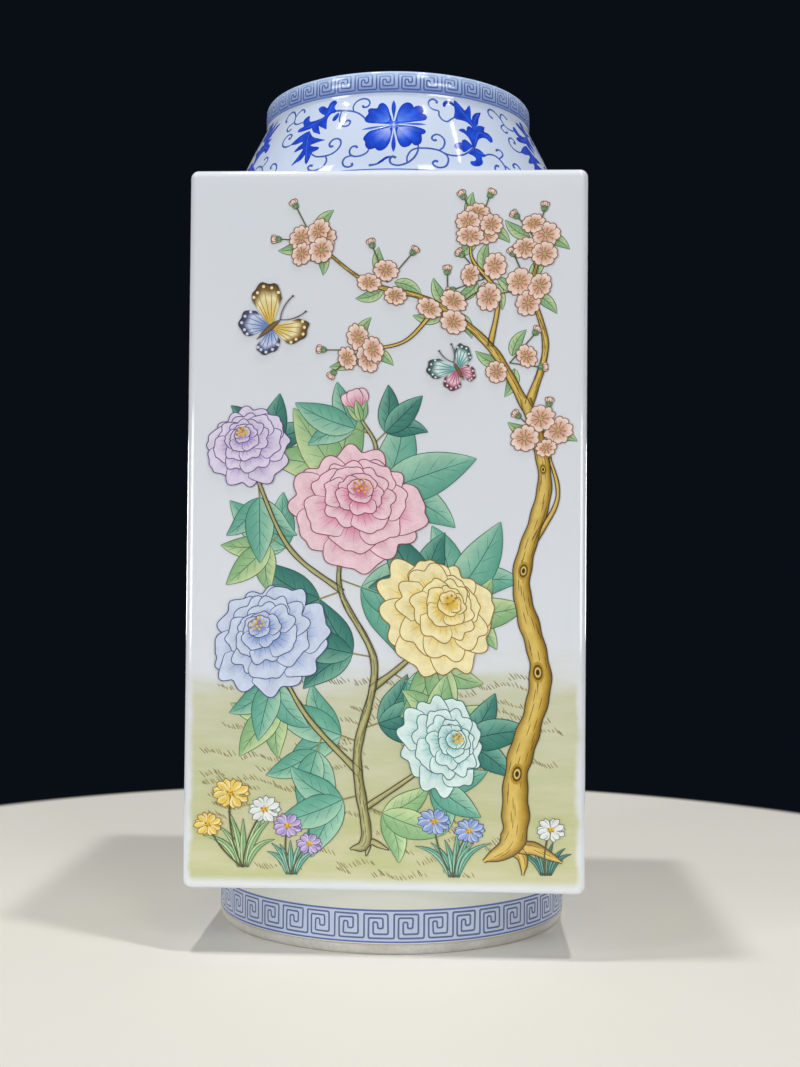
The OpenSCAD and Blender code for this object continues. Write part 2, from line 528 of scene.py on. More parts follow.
    def lay_out(self, mesh):
        """Gives each cell a square of its own in the layout for baking."""
        cells = np.concatenate(self.cells)
        across = math.ceil(math.sqrt(len(self.cell_of)))
        corner = np.stack([cells[:, 0] % across, cells[:, 0] // across], axis=1)
        places = (corner + 0.15 + 0.7 * cells[:, 1:]) / across
        uv = places[loop_numbers(mesh, "vertex_index")].astype(np.float32)
        mesh.uv_layers.new(name="OFBake").data.foreach_set("uv", uv.ravel())

    def build(self, name, material, slot, above=0.0):
        """Makes one piece of what was painted, above the given height. Shapes reach into the glaze."""
        flat = np.concatenate(self.flat)
        lift = flat[:, 2] + above
        spots = np.stack(self.surface(flat[:, 0], flat[:, 1], lift), axis=1) * MM
        mesh = bpy.data.meshes.new(name)
        mesh.from_pydata(spots.tolist(), [], self.faces)
        tints = np.ones((self.total, 4), dtype=np.float32)
        tints[:, :3] = np.concatenate(self.tints)
        layer = mesh.color_attributes.new("tint", "FLOAT_COLOR", "POINT")
        layer.data.foreach_set("color", tints.ravel())
        self.lay_out(mesh)
        piece = add_piece(name, mesh, material)
        border = np.bincount(loop_numbers(mesh, "edge_index"), minlength=len(mesh.edges)) == 1
        mesh.edges.foreach_set("use_edge_sharp", border)
        coat = piece.modifiers.new("thickness", "SOLIDIFY")
        coat.thickness = (lift.max() + 0.02) * MM
        coat.offset = -1.0
        return lift.max()


def loop_numbers(mesh, kind):
    """Number of the vertex or the edge at each corner of the mesh's faces."""
    numbers = np.empty(len(mesh.loops), dtype=np.int32)
    mesh.loops.foreach_get(kind, numbers)
    return numbers


def point(place):
    return np.array(place, dtype=float)


def blade_line(base, tip, bend, s):
    """Middle line of a leaf shape, at shares s of its length."""
    reach = tip - base
    side = np.array([-reach[1], reach[0]])
    return base + reach * s + side * bend * 4 * s * (1 - s)


def smooth(points, step):
    """Smooth path through a few places."""
    points = point(points)
    points = np.vstack([2 * points[0] - points[1], points, 2 * points[-1] - points[-2]])
    path = []
    for a, b, c, d in zip(points, points[1:], points[2:], points[3:]):
        count = max(3, int(np.linalg.norm(c - b) / step))
        t = np.linspace(0, 1, count, endpoint=False)[:, None]
        path.append(0.5 * (2 * b + (c - a) * t + (2 * a - 5 * b + 4 * c - d) * t ** 2
                           + (3 * b - a - 3 * c + d) * t ** 3))
    return np.vstack(path + [points[-2:-1]])


def dense(points, step):
    """Straight-sided path with places close enough together to follow a round surface."""
    points = point(points)
    path = []
    for a, b in zip(points, points[1:]):
        count = max(1, int(np.linalg.norm(b - a) / step))
        path.append(a + (b - a) * np.linspace(0, 1, count, endpoint=False)[:, None])
    return np.vstack(path + [points[-1:]])


def round_surface(radius, reference):
    """Places on a turned surface: across is measured along the circle of the reference radius."""
    def surface(u, v, lift):
        turn = u / reference
        r = radius(v) + lift
        return r * np.sin(turn), -r * np.cos(turn), v
    return surface


# Key frets. A unit's corners are numbers of a column and of a row, at shares of its width and height

FRET_COLUMNS = (0.0, 0.15, 0.30, 0.45, 0.63, 0.80, 1.0)
FOOT_ROWS = (0.0, 0.16, 0.33, 0.60, 0.83, 1.0)
RIM_ROWS = (0.0, 0.17, 0.35, 0.57, 0.79, 1.0)
FRET_PATH = ((0, 0), (5, 0), (5, 4), (2, 4), (2, 2), (3, 2), (3, 3),
             (4, 3), (4, 1), (1, 1), (1, 5), (6, 5), (6, 0))
FRET_SHAKE = 0.05
FRET_PITCH = 0.35
# Units round each ring, turn of the first one in degrees, lower and upper edge, and widths of the lines
RIM_UNITS, RIM_FIRST = 41, -1.6
FOOT_UNITS, FOOT_FIRST = 40, -1.0
RIM_FRET = (BAND_Z + 0.95, TOP_Z - 1.2)
# Heights over which the rim's fret lines turn pale towards the lip: a painted highlight
RIM_HIGHLIGHT = (TOP_Z - 3.2, TOP_Z - 1.4)
FOOT_FRET = (5.3, 12.7)
FOOT_LINES = (4.1, 13.8)
RIM_LINE = 0.47
FOOT_LINE = 0.56
# How high the first coat of paint and a second one over it lie
FIRST_COAT, SECOND_COAT = 0.03, 0.05


def softened(path):
    """Path with its corners a little rounded, as a brush turns them."""
    for _ in range(2):
        path[1:-1] = 0.25 * path[:-2] + 0.5 * path[1:-1] + 0.25 * path[2:]
    return path


def fret(paint, count, reference, first, span, rows, width, tint, pale=None, highlight_span=None):
    """Running key fret round a band, drawn by hand, with its rows at shares of the height from the top.

    Between the two heights of a highlight span, the lines turn into the pale colour: a painted highlight."""
    unit = 2 * math.pi * reference / count
    low, high = span
    luck = random.Random(count)
    for index in range(count):
        start = math.radians(first) * reference + (index - 0.5) * unit
        path = [(start + FRET_COLUMNS[c] * unit, high + (low - high) * rows[r]) for c, r in FRET_PATH]
        path[1:-1] = [(u + luck.gauss(0, FRET_SHAKE), v + luck.gauss(0, FRET_SHAKE)) for u, v in path[1:-1]]
        path = softened(dense(path, FRET_PITCH))
        tones = tint
        if highlight_span:
            tones = tint + (pale - tint) * np.clip((path[:, 1:] - highlight_span[0]) / (highlight_span[1] - highlight_span[0]), 0, 1)
        paint.stroke(path, width * luck.uniform(0.9, 1.1), tones, FIRST_COAT, EVEN)


def band_line(paint, reference, height, width, tint, lift=FIRST_COAT):
    path = [(a * reference, height) for a in np.linspace(-math.pi, math.pi, LATHE_STEPS + 1)]
    paint.stroke(path, width, tint, lift, EVEN)


def build_frets():
    ink = paint_material("fret_blue", 0.08, 260.0, 0.12)
    rim = Paint(round_surface(rim_radius, RIM_R))
    # The rim's fret lines turn pale near the lip: a painted highlight
    fret(rim, RIM_UNITS, RIM_R, RIM_FIRST, RIM_FRET, RIM_ROWS, RIM_LINE,
         linear("566EB2"), linear("A7BEEB"), RIM_HIGHLIGHT)
    band_line(rim, RIM_R, BAND_Z + 0.1, 0.46, linear("6F89CE"))
    rim.build("rim_fret", ink, "cobalt")
    foot = Paint(round_surface(lambda v: np.full_like(v, FOOT_R), FOOT_R))
    # The foot's fret lines are painted greyer and warmer than the rim's: painted shade and warm light from
    # the table
    fret(foot, FOOT_UNITS, FOOT_R, FOOT_FIRST, FOOT_FRET, FOOT_ROWS, FOOT_LINE, linear("556490"))
    for height in FOOT_LINES:
        band_line(foot, FOOT_R, height, FOOT_LINE, linear("4F64A6"), SECOND_COAT)
    foot.build("foot_fret", ink, "cobalt")


# Blue flower scroll on the neck, drawn once and repeated round it

SCROLL_REPEATS = 4
# Radius of the circle that across is measured along, and turn of the first flower in degrees
SCROLL_REFERENCE = 52.0
SCROLL_FIRST = 1.3
# Spacing of places along outlines and along tendrils
SCROLL_STEP, TENDRIL_STEP = 0.5, 0.4
# Width of tendrils, and of ribs and the ring round the flower's eye
TENDRIL_LINE, RIB_LINE = 0.58, 0.3
# Places are mm across from the flower's middle and up from the shoulder. This is the flower's eye
FLOWER_AT = (0.0, 17.0)
# Outlines of the four petals, each from beside the flower's eye and round to it again
PETALS = (
    ((-1.3, 18.4), (-1.5, 20.5), (-1.9, 22.4), (-2.6, 24.0), (-3.6, 25.0), (-4.6, 25.2), (-5.4, 24.5),
     (-5.8, 23.3), (-7.0, 23.2), (-8.3, 23.3), (-8.9, 22.6), (-8.6, 21.4), (-9.3, 20.2), (-9.6, 19.0),
     (-8.6, 18.1), (-6.6, 17.7), (-4.2, 17.6), (-2.4, 17.8)),
    ((1.0, 18.2), (1.0, 20.4), (1.5, 22.4), (2.5, 24.2), (3.9, 25.3), (5.2, 25.4), (6.2, 24.7),
     (6.6, 23.7), (7.6, 24.2), (8.8, 24.4), (9.8, 23.8), (9.8, 22.4), (9.4, 21.5), (10.4, 21.0),
     (10.8, 20.2), (10.2, 19.2), (8.4, 18.7), (6.0, 18.4), (3.6, 18.2), (2.0, 17.9)),
    ((-1.4, 16.0), (-3.0, 15.6), (-5.0, 15.1), (-7.2, 14.7), (-8.6, 13.4), (-9.2, 11.9), (-8.5, 10.8),
     (-8.4, 9.6), (-7.6, 8.4), (-6.4, 8.2), (-5.5, 8.6), (-4.6, 7.7), (-3.4, 7.7), (-2.2, 8.7),
     (-1.3, 10.4), (-0.9, 12.4), (-0.9, 14.6)),
    ((1.6, 16.2), (3.6, 16.4), (5.8, 16.4), (7.8, 16.0), (9.4, 15.4), (9.9, 14.6), (9.2, 13.8),
     (8.5, 13.6), (8.5, 12.2), (8.2, 10.6), (7.0, 9.6), (6.0, 9.8), (5.5, 10.4), (4.6, 9.3), (3.2, 8.8),
     (2.2, 9.3), (1.4, 10.9), (1.0, 13.0), (1.0, 15.0)),
)
# Outlines of the lobed leaves: two left of the flower and a bud, then five along the stem on its right
SCROLL_LEAVES = (
    ((-20.3, 23.6), (-21.6, 24.6), (-21.9, 25.8), (-21.4, 26.8), (-22.2, 27.8), (-23.4, 27.9),
     (-24.4, 27.2), (-24.7, 26.0), (-25.1, 25.4), (-26.4, 26.2), (-27.8, 26.5), (-28.8, 26.0),
     (-28.6, 25.2), (-27.6, 24.2), (-26.2, 23.2), (-25.1, 22.6), (-25.4, 22.0), (-26.6, 21.5),
     (-28.5, 21.1), (-30.4, 21.2), (-31.2, 22.0), (-31.6, 23.2), (-32.3, 23.7), (-33.4, 23.2),
     (-34.0, 22.2), (-33.7, 21.2), (-32.9, 20.2), (-32.8, 19.7), (-34.2, 19.3), (-34.8, 18.6),
     (-34.2, 17.9), (-32.8, 17.8), (-31.0, 18.0), (-29.4, 18.1), (-28.8, 18.4), (-28.2, 17.5),
     (-27.2, 16.5), (-25.8, 15.9), (-24.5, 15.4), (-24.9, 16.4), (-25.6, 17.8), (-26.0, 18.8),
     (-25.2, 18.2), (-23.8, 17.5), (-22.6, 16.9), (-22.8, 18.0), (-23.2, 19.6), (-23.4, 21.0),
     (-23.0, 22.2), (-22.2, 22.9), (-21.2, 23.0)),
    ((-29.2, 17.4), (-28.4, 16.4), (-27.4, 15.2), (-26.2, 14.4), (-24.8, 13.9), (-23.2, 13.3),
     (-22.0, 12.9), (-23.6, 12.6), (-25.4, 12.2), (-26.6, 11.9), (-27.0, 11.7), (-26.2, 11.2),
     (-24.6, 10.8), (-23.6, 10.4), (-23.7, 9.7), (-24.6, 9.3), (-25.6, 8.9), (-25.9, 8.0), (-26.0, 7.2),
     (-26.4, 6.0), (-26.9, 5.0), (-27.5, 5.6), (-27.9, 7.0), (-28.1, 8.4), (-28.6, 7.8), (-29.4, 6.8),
     (-31.0, 6.2), (-32.6, 5.4), (-31.8, 6.8), (-30.8, 8.2), (-30.0, 9.6), (-29.6, 10.8), (-30.8, 10.7),
     (-32.2, 10.3), (-33.0, 10.4), (-32.0, 11.8), (-30.9, 12.8), (-30.4, 13.4), (-31.4, 13.6),
     (-33.0, 13.2), (-34.6, 13.3), (-35.6, 13.5), (-34.4, 14.8), (-33.0, 15.9), (-31.6, 16.7),
     (-30.4, 17.2)),
    ((-19.6, 22.9), (-19.2, 21.6), (-19.8, 20.2), (-20.6, 19.7), (-21.3, 20.2), (-21.2, 21.2),
     (-20.6, 22.2)),
    ((27.6, 17.6), (27.4, 20.4), (27.2, 21.8), (27.6, 23.2), (28.2, 25.2), (28.3, 27.0), (27.2, 26.2),
     (26.2, 25.1), (25.5, 24.7), (24.8, 25.6), (24.0, 26.6), (23.0, 27.6), (22.3, 28.0), (21.8, 27.2),
     (21.6, 26.0), (21.5, 24.6), (21.2, 23.2), (20.7, 22.0), (20.5, 21.2), (21.2, 20.6), (22.6, 20.5),
     (24.2, 20.3), (25.4, 19.7), (26.2, 18.9), (26.7, 17.8)),
    ((27.2, 19.4), (27.3, 21.2), (27.8, 22.4), (28.6, 23.4), (29.8, 24.3), (31.2, 24.8), (32.4, 25.0),
     (32.0, 24.2), (31.2, 23.2), (30.3, 22.0), (29.8, 20.8), (29.2, 19.8), (28.3, 18.9), (27.7, 18.4)),
    ((27.7, 18.6), (28.4, 18.9), (29.3, 19.5), (30.6, 19.6), (31.8, 19.4), (31.3, 18.4), (31.0, 17.6),
     (32.0, 17.3), (33.0, 16.6), (33.5, 15.6), (33.3, 14.4), (32.4, 13.8), (31.5, 14.4), (30.8, 15.0),
     (29.6, 15.0), (28.4, 14.5), (27.6, 13.8), (26.8, 12.6), (26.2, 11.4), (25.3, 10.4), (24.8, 11.4),
     (24.6, 12.6), (24.2, 13.8), (23.6, 14.8), (22.8, 15.6), (21.8, 16.0), (21.2, 16.4), (22.0, 17.1),
     (23.2, 17.2), (23.9, 16.6), (24.2, 17.4), (24.8, 18.4), (25.6, 18.6), (26.4, 18.2), (27.0, 18.6)),
    ((25.1, 11.0), (24.2, 12.0), (23.4, 12.8), (22.6, 13.2), (21.6, 12.7), (21.3, 11.9), (20.6, 11.8),
     (19.6, 11.6), (18.8, 10.9), (18.6, 10.1), (19.2, 9.5), (20.0, 9.6), (20.8, 9.2), (21.2, 8.6),
     (22.0, 8.6), (23.0, 9.4), (24.0, 10.2)),
    ((25.4, 10.6), (26.6, 10.4), (27.6, 9.9), (28.4, 9.0), (29.2, 8.5), (28.4, 7.9), (27.6, 7.7),
     (27.3, 7.2), (27.5, 6.2), (27.2, 5.2), (26.2, 4.4), (24.8, 4.0), (23.6, 4.2), (23.1, 5.0),
     (23.5, 5.6), (24.6, 5.8), (25.2, 6.6), (24.8, 7.4), (23.8, 7.9), (23.0, 8.2), (23.8, 9.0),
     (24.8, 9.8)),
)
# Paler ribs along the leaves
SCROLL_RIBS = (
    ((-22.0, 24.4), (-24.2, 22.6), (-27.4, 20.2), (-32.2, 18.8)),
    ((-23.2, 27.0), (-23.6, 24.4), (-24.4, 21.4)),
    ((-29.0, 16.6), (-28.7, 13.4), (-28.0, 10.0), (-27.0, 6.4)),
    ((22.6, 27.0), (24.4, 23.8), (26.4, 20.6), (27.2, 17.6)),
    ((31.4, 24.4), (29.4, 22.6), (28.1, 20.4)),
    ((32.6, 15.2), (30.2, 16.6), (28.2, 16.4), (26.4, 13.2), (25.4, 10.8)),
    ((28.4, 8.6), (26.4, 9.2), (25.4, 10.2)),
)
# Thin curling stems
TENDRILS = (
    ((-8.4, 18.3), (-11.0, 20.9), (-13.5, 22.4), (-16.6, 23.2), (-20.6, 23.7)),
    ((-14.1, 22.7), (-14.6, 24.6), (-13.7, 26.4), (-11.8, 27.3), (-9.7, 27.0), (-8.7, 25.6), (-9.3, 24.2),
     (-10.7, 24.0), (-11.2, 24.8)),
    ((-18.7, 23.4), (-18.7, 20.6), (-18.0, 18.4), (-16.4, 17.2), (-14.9, 17.5), (-14.5, 18.7),
     (-15.4, 19.4), (-16.3, 18.8)),
    ((-25.9, 8.5), (-24.0, 7.2), (-21.5, 6.9), (-19.0, 7.3), (-17.2, 8.6), (-16.3, 10.4), (-16.6, 12.0),
     (-17.8, 12.8), (-19.3, 12.5), (-20.1, 11.2), (-19.6, 10.1), (-18.6, 10.2)),
    ((-20.7, 6.9), (-20.1, 5.4), (-20.6, 3.9), (-22.0, 2.8), (-24.0, 2.3), (-25.6, 2.8), (-26.1, 3.7),
     (-25.4, 4.3), (-24.5, 4.0)),
    ((-7.2, 8.2), (-7.9, 6.9), (-9.4, 6.0), (-11.4, 5.8), (-12.8, 6.6), (-13.1, 8.2), (-12.4, 9.3),
     (-11.3, 9.4), (-10.9, 8.7)),
    ((-12.4, 6.2), (-14.2, 5.6), (-14.9, 4.2), (-14.4, 2.8), (-13.0, 2.3), (-11.9, 2.8), (-12.1, 3.6)),
    ((7.4, 9.8), (7.2, 7.6), (6.2, 5.4), (4.6, 3.7), (2.8, 2.7), (1.0, 2.4), (-0.6, 3.0), (-1.0, 4.4),
     (-0.2, 5.4), (0.8, 4.9)),
    ((0.2, 5.5), (-1.4, 5.2), (-2.6, 4.6), (-3.4, 3.7), (-5.0, 2.8), (-7.0, 2.5)),
    ((4.0, 3.4), (4.0, 5.2), (5.0, 7.3), (6.6, 8.3), (8.6, 8.6), (11.0, 8.6), (13.4, 8.2), (15.0, 7.4),
     (16.4, 6.9), (18.4, 6.8), (21.0, 7.4), (23.4, 9.0), (25.4, 11.0), (26.6, 13.4), (27.2, 16.0),
     (27.4, 18.6)),
    ((13.5, 8.1), (15.0, 9.4), (15.7, 11.4), (15.2, 13.0), (13.8, 13.9), (12.4, 13.5), (11.7, 12.4),
     (12.4, 11.6), (13.2, 12.0)),
    ((14.6, 7.6), (15.9, 6.5), (16.2, 5.0), (15.4, 3.0), (13.6, 2.2), (12.0, 2.6), (11.4, 3.6),
     (12.2, 4.4), (13.0, 4.1)),
    ((21.0, 21.4), (19.4, 20.4), (17.6, 19.2), (15.9, 19.9), (15.2, 21.6), (15.3, 23.0), (13.6, 23.4),
     (12.3, 24.4), (12.0, 25.8), (12.9, 27.1), (14.3, 27.4), (15.3, 26.6), (14.8, 26.0)),
    ((29.0, 8.6), (30.6, 9.2), (32.4, 9.1), (33.9, 8.3), (35.0, 7.0), (35.8, 5.3), (35.0, 3.6),
     (33.4, 2.7), (32.0, 3.2), (31.6, 4.5), (32.3, 5.6), (33.3, 5.4)),
    ((34.0, 8.3), (35.6, 9.5), (36.1, 10.6), (35.4, 11.5), (34.2, 11.6), (33.6, 10.9)),
    ((35.4, 6.4), (37.2, 5.4), (38.6, 4.4), (40.4, 3.9), (42.2, 4.6), (42.6, 6.2), (41.7, 7.6),
     (40.3, 7.9), (39.4, 7.0), (40.0, 6.3)),
    ((-34.0, 21.7), (-35.8, 21.4), (-37.6, 21.7), (-38.9, 22.8), (-39.5, 24.6), (-40.4, 26.0),
     (-42.0, 27.2), (-43.8, 27.4), (-45.2, 26.3), (-45.2, 24.8), (-44.0, 23.9)),
    ((-39.4, 24.6), (-38.9, 26.0), (-37.6, 27.0), (-36.2, 26.8), (-35.2, 25.5)),
    ((-39.0, 22.7), (-40.8, 21.9), (-41.4, 20.8), (-40.6, 19.7), (-39.4, 19.6), (-38.8, 20.3)),
    ((-35.4, 13.5), (-37.0, 13.2), (-38.8, 13.5), (-40.0, 14.6), (-40.3, 16.2), (-39.4, 17.6),
     (-38.0, 18.0), (-36.9, 17.2), (-37.2, 16.2), (-38.0, 16.5)),
)
# Short thick brush strokes and their widths: a curled leaf end and a small leaf below the flower
THICK_STROKES = (
    (1.2, ((21.7, 25.9), (20.6, 26.8), (19.2, 26.9), (18.0, 26.1), (17.7, 24.9))),
    (0.8, ((-1.2, 5.3), (-2.3, 4.8), (-3.2, 4.0), (-4.4, 3.1))),
)


def closed(points):
    """Smooth outline through the places."""
    return smooth(points + points[:1], SCROLL_STEP)[:-1]


def flower(paint, start, deep):
    """Four lobed petals set crosswise between slender sepals, round a ringed eye."""
    pale, middle, blue = linear("B2C6F5"), linear("6690EE"), linear("2355DC")
    at = start + FLOWER_AT
    for index, points in enumerate(PETALS):
        rim = start + closed(points)
        core = pale if index > 1 else middle
        stops = ((0.1, core), (0.4, 0.5 * (core + blue)), (0.7, blue), (1.0, deep))
        paint.fan(at, rim - at, np.ones(len(rim)), stops, 0.035, rings=9, inner=0.14)
        paint.stroke(rim, 0.26, deep, 0.05, ends=(0.6, 0.6))
    sepals = (((-0.1, 18.6), (-0.3, 26.3), 1.5, deep), ((0.0, 14.6), (0.0, 7.0), 1.3, deep),
              ((-2.2, 16.6), (-10.2, 15.4), 0.8, middle), ((2.2, 17.3), (10.3, 17.4), 0.9, middle))
    for base, tip, width, tone in sepals:
        paint.blade(start + base, start + tip, width, 0.0, (blue, tone, tone), 0.06, fullness=1.6)
    rays = ray_fan(np.linspace(0, 360, 25))
    paint.fan(at, rays, np.ones(25), ((0, linear("DDE4F2")), (1, pale)), 0.06)
    paint.stroke(at + rays, RIB_LINE, blue, 0.075, EVEN)


def build_scroll():
    blue, deep, rib, line = (linear(code) for code in ("2050D2", "1638B2", "3C68DE", "3F60B4"))
    scroll = Paint(round_surface(neck_radius, SCROLL_REFERENCE))
    spacing = 2 * math.pi * SCROLL_REFERENCE / SCROLL_REPEATS
    first = math.radians(SCROLL_FIRST) * SCROLL_REFERENCE
    for repeat in range(SCROLL_REPEATS):
        start = np.array([(repeat - 1) * spacing + first, SHOULDER_Z])
        for points in TENDRILS:
            path = start + smooth(points, TENDRIL_STEP)
            scroll.stroke(path, TENDRIL_LINE, line, FIRST_COAT, ends=(0.8, 1.4))
        for width, points in THICK_STROKES:
            scroll.stroke(start + smooth(points, TENDRIL_STEP), width, deep, 0.04, ends=(0.8, 0.7))
        flower(scroll, start, deep)
        for index, points in enumerate(SCROLL_LEAVES):
            scroll.shape(start + closed(points), (blue, deep), 0.045 + 0.002 * index)
        for points in SCROLL_RIBS:
            scroll.stroke(start + smooth(points, SCROLL_STEP), RIB_LINE, rib, 0.07, ends=(0.6, 0.6))
    band_line(scroll, SCROLL_REFERENCE, SHOULDER_Z + 1.1, 0.4, line)
    scroll.build("neck_scroll", paint_material("scroll_blue", 0.08, 330.0, 0.22), "cobalt")


# Enamel painting on the panels

# Deep, middle and pale tone of each colour
ENAMELS = {
    "pink": ("C04E7A", "DD8BA8", "F4D3DC"), "yellow": ("CB9A34", "E8CA66", "F7ECBA"),
    "blue": ("5B74BA", "8EA6DA", "D3DDF2"), "lilac": ("8B70B6", "B5A0D5", "E4DAF0"),
    "aqua": ("52A3A8", "96CDCD", "DDF0ED"), "peach": ("CB8F74", "E4B9A4", "F6E3D8"),
    "white": ("A9B7B8", "DFE5E2", "F3F4F0"),
}
# Leaf colours: rib, shaded half and lit half
GREENS = {
    "sea": ("7FBBA6", "62A692", "A9D2B8"), "young": ("A3C795", "86B47F", "CBDDA8"),
    "deep": ("548F83", "3D7A70", "7DB39F"), "olive": ("A9A866", "8C8F55", "C6C688"),
}
# Stem colours: dark, middle and light
BARK = ("6E5526", "B8953C", "DDC06A")
STEM = ("5C5A3C", "94905C", "B9B784")
CANE = ("4E7D63", "86B088", "BAD3A4")
INK = linear("43372F")
GRASS_INK = ("9A9068", "8A7F58", "A89E78")
GOLD = (linear("E8C254"), linear("B98A2C"))
# Widths of outlines and of finer lines
LINE, FINE_LINE = 0.28, 0.2
# How much higher each petal and each leaf lies than the last, and veins and outlines than their petal
PETAL_STEP, LEAF_STEP = 0.005, 0.0014
VEIN_LIFT, OUTLINE_LIFT = 0.0015, 0.003
# Petals shorter than this, in mm, are drawn with fewer places
SMALL_PETAL = 8.0
GOLDEN_ANGLE = 137.5
# How far the painting keeps inside the panel's edges, and the lower and upper edge of the grass
ART_W = 58.0
GROUND = (24.0, 86.0)
GRASS_ROWS = 64


def panel_surface(turn):
    """Places on one side of the body: across its face and up from the table."""
    across, out = math.cos(math.radians(turn)), math.sin(math.radians(turn))

    def surface(u, v, lift):
        y = sag(u, v) - HALF_W - lift
        return u * across - y * out, u * out + y * across, v
    return surface


class Panel:
    """The painting on one side: leaves lie lowest, then stems, sprigs of small flowers, and blooms."""

    def __init__(self, turn):
        self.leaves, self.stems, self.sprigs, self.blooms = (Paint(panel_surface(turn)) for _ in range(4))
        self.luck = random.Random(turn + 11)
        self.level = 0.02
        self.paths = []

    def next_level(self):
        """Height of the next leaf, a little above the last one."""
        self.level += LEAF_STEP
        return self.level

    def on_stem(self, place):
        """Nearest place on a stem that is already drawn."""
        spots = np.vstack(self.paths)
        return spots[np.argmin(np.sum((spots - place) ** 2, axis=1))]

    def build(self, side, material):
        above = 0.0
        for layer in ("leaves", "stems", "sprigs", "blooms"):
            above = getattr(self, layer).build(side + "_" + layer, material, "enamel", above)


def way(degrees):
    return np.array([math.cos(math.radians(degrees)), math.sin(math.radians(degrees))])


def ray_fan(degrees, shape=np.eye(2)):
    """Unit rays at the given angles, reshaped."""
    angles = np.radians(degrees)
    return np.stack([np.cos(angles), np.sin(angles)], axis=1) @ shape.T


def tilted(degrees, share):
    """Flattens a shape along one direction, as a flower looks when it leans that way."""
    x, y = way(degrees)
    turn = np.array([[x, -y], [y, x]])
    return turn @ np.diag([share, 1.0]) @ turn.T


def enamel(name):
    """Deep, middle and pale tones, and the tone of the outline."""
    deep, middle, pale = (linear(c) for c in ENAMELS[name])
    return deep, middle, pale, 0.45 * deep + 0.25 * INK


def greens(name):
    """Tones of a leaf's rib, shaded half and lit half, and of its outline."""
    rib, shade, lit = (linear(c) for c in GREENS[name])
    return rib, shade, lit, 0.35 * shade + 0.15 * INK


def oval(paint, at, size, along, tint, lift, length=1.6, points=14):
    """Small filled oval, stretched along one direction."""
    rays = ray_fan(np.linspace(0, 360, points)) * (length, 1.0)
    rays = rays @ np.array([along, (-along[1], along[0])])
    paint.fan(at, rays, np.full(points, size), ((0, tint), (1, tint)), lift, 2, tuple(np.round(tint, 4)))


def dot(paint, at, size, tint, lift):
    oval(paint, at, size, way(0), tint, lift, 1.0, 9)


def petal(paint, at, shape, heading, spread, reach, tones, lift, luck, ruffle=0.045, notch=0.07, veins=5):
    """Broad petal that widens from its base, with a ruffled and notched edge, veins and an outline."""
    deep, middle, pale, line = tones
    small = reach < SMALL_PETAL
    points = 11 if small else 25
    share = np.linspace(-1, 1, points)
    wave = ruffle * np.sin(share * luck.uniform(5, 8) + luck.uniform(0, 6))
    edge = reach * (1 - 0.26 * np.abs(share) ** 3 + wave - notch * np.exp(-(share / 0.16) ** 2))
    rays = ray_fan(heading + share * spread / 2, shape)
    paint.fan(at, rays, edge, ((0, deep), (0.5, middle), (0.86, pale), (1, pale)), lift, 5 if small else 7)
    for place in np.linspace(points // 6, points - 1 - points // 6, veins).astype(int):
        vein = at + np.linspace(0.3, 0.84, 4)[:, None] * edge[place] * rays[place]
        paint.stroke(vein, FINE_LINE, 0.6 * middle + 0.4 * deep, lift + VEIN_LIFT)
    sides = np.linspace(0.5, 0.97, 2 if small else 4)[:, None]
    first = at + sides * edge[0] * rays[0]
    last = at + sides[::-1] * edge[-1] * rays[-1]
    outline = np.vstack([first, at + edge[:, None] * rays, last])
    paint.stroke(outline, LINE, line, lift + OUTLINE_LIFT, ends=(0.3, 0.3))


# Petals in each ring, how far they reach and how wide they spread, in degrees
PEONY_RINGS = ((8, 1.0, 66), (7, 0.76, 72), (6, 0.54, 82), (5, 0.36, 98), (3, 0.21, 150))
CAMELLIA_RINGS = ((6, 1.0, 82), (5, 0.68, 92), (4, 0.40, 120))


def peony(panel, at, size, tone, lean, rings=PEONY_RINGS):
    """Full bloom of several rings of petals, leaning one way, with a gold heart."""
    luck = panel.luck
    shape = tilted(lean, 0.86)
    shift = way(lean) * size * 0.055
    lift = PETAL_STEP
    for ring, (count, reach, spread) in enumerate(rings):
        first = luck.uniform(0, 360)
        for index in range(count):
            heading = first + 360 * index / count + luck.uniform(-7, 7)
            fuller = 1 - 0.1 * math.cos(math.radians(heading - lean))
            length = size * reach * luck.uniform(0.9, 1.06) * fuller
            petal(panel.blooms, at + shift * ring, shape, heading, spread, length, enamel(tone), lift, luck)
            lift += PETAL_STEP
    heart = at + shift * len(rings)
    for index in range(14):
        spot = heart + shape @ way(index * GOLDEN_ANGLE) * size * 0.035 * math.sqrt(index)
        dot(panel.blooms, spot, 0.42, GOLD[index % 3 == 0], lift + 0.002 * index)


def blossom(panel, at, size, tone, lean, lift):
    """Open five-petalled blossom with its stamens."""
    luck, paint, tones = panel.luck, panel.sprigs, enamel(tone)
    shape = tilted(lean, luck.uniform(0.72, 0.95))
    first = luck.uniform(0, 72)
    for index in range(5):
        heading, level = first + 72 * index, lift + PETAL_STEP * index
        petal(paint, at, shape, heading, 80, size, tones, level, luck, 0.02, 0.12, 3)
    for index in range(9):
        tip = at + shape @ way(first + 40 * index) * size * luck.uniform(0.38, 0.58)
        paint.stroke(np.linspace(at, tip, 4), FINE_LINE, tones[3], lift + 0.03, EVEN)
        dot(paint, tip, 0.3, GOLD[1], lift + 0.033)
    dot(paint, at, size * 0.12, linear("B9BC6A"), lift + 0.035)


def bud(panel, at, size, tone, heading):
    """Closed bud in its green cup."""
    at, paint = point(at), panel.sprigs
    for index, swing in enumerate((-16, 16, 0)):
        lift = PETAL_STEP * (index + 1)
        petal(paint, at, np.eye(2), heading + swing, 44, size, enamel(tone), lift, panel.luck, 0.02, 0.0, 3)
    cup = at - way(heading) * size * 0.12
    for index, swing in enumerate((-34, 34, 0)):
        tip = at + way(heading + swing) * size * 0.62
        leaf(panel, cup, tip, size * 0.3, 0.0, "young", paint, 0.02 + 0.002 * index, 0)


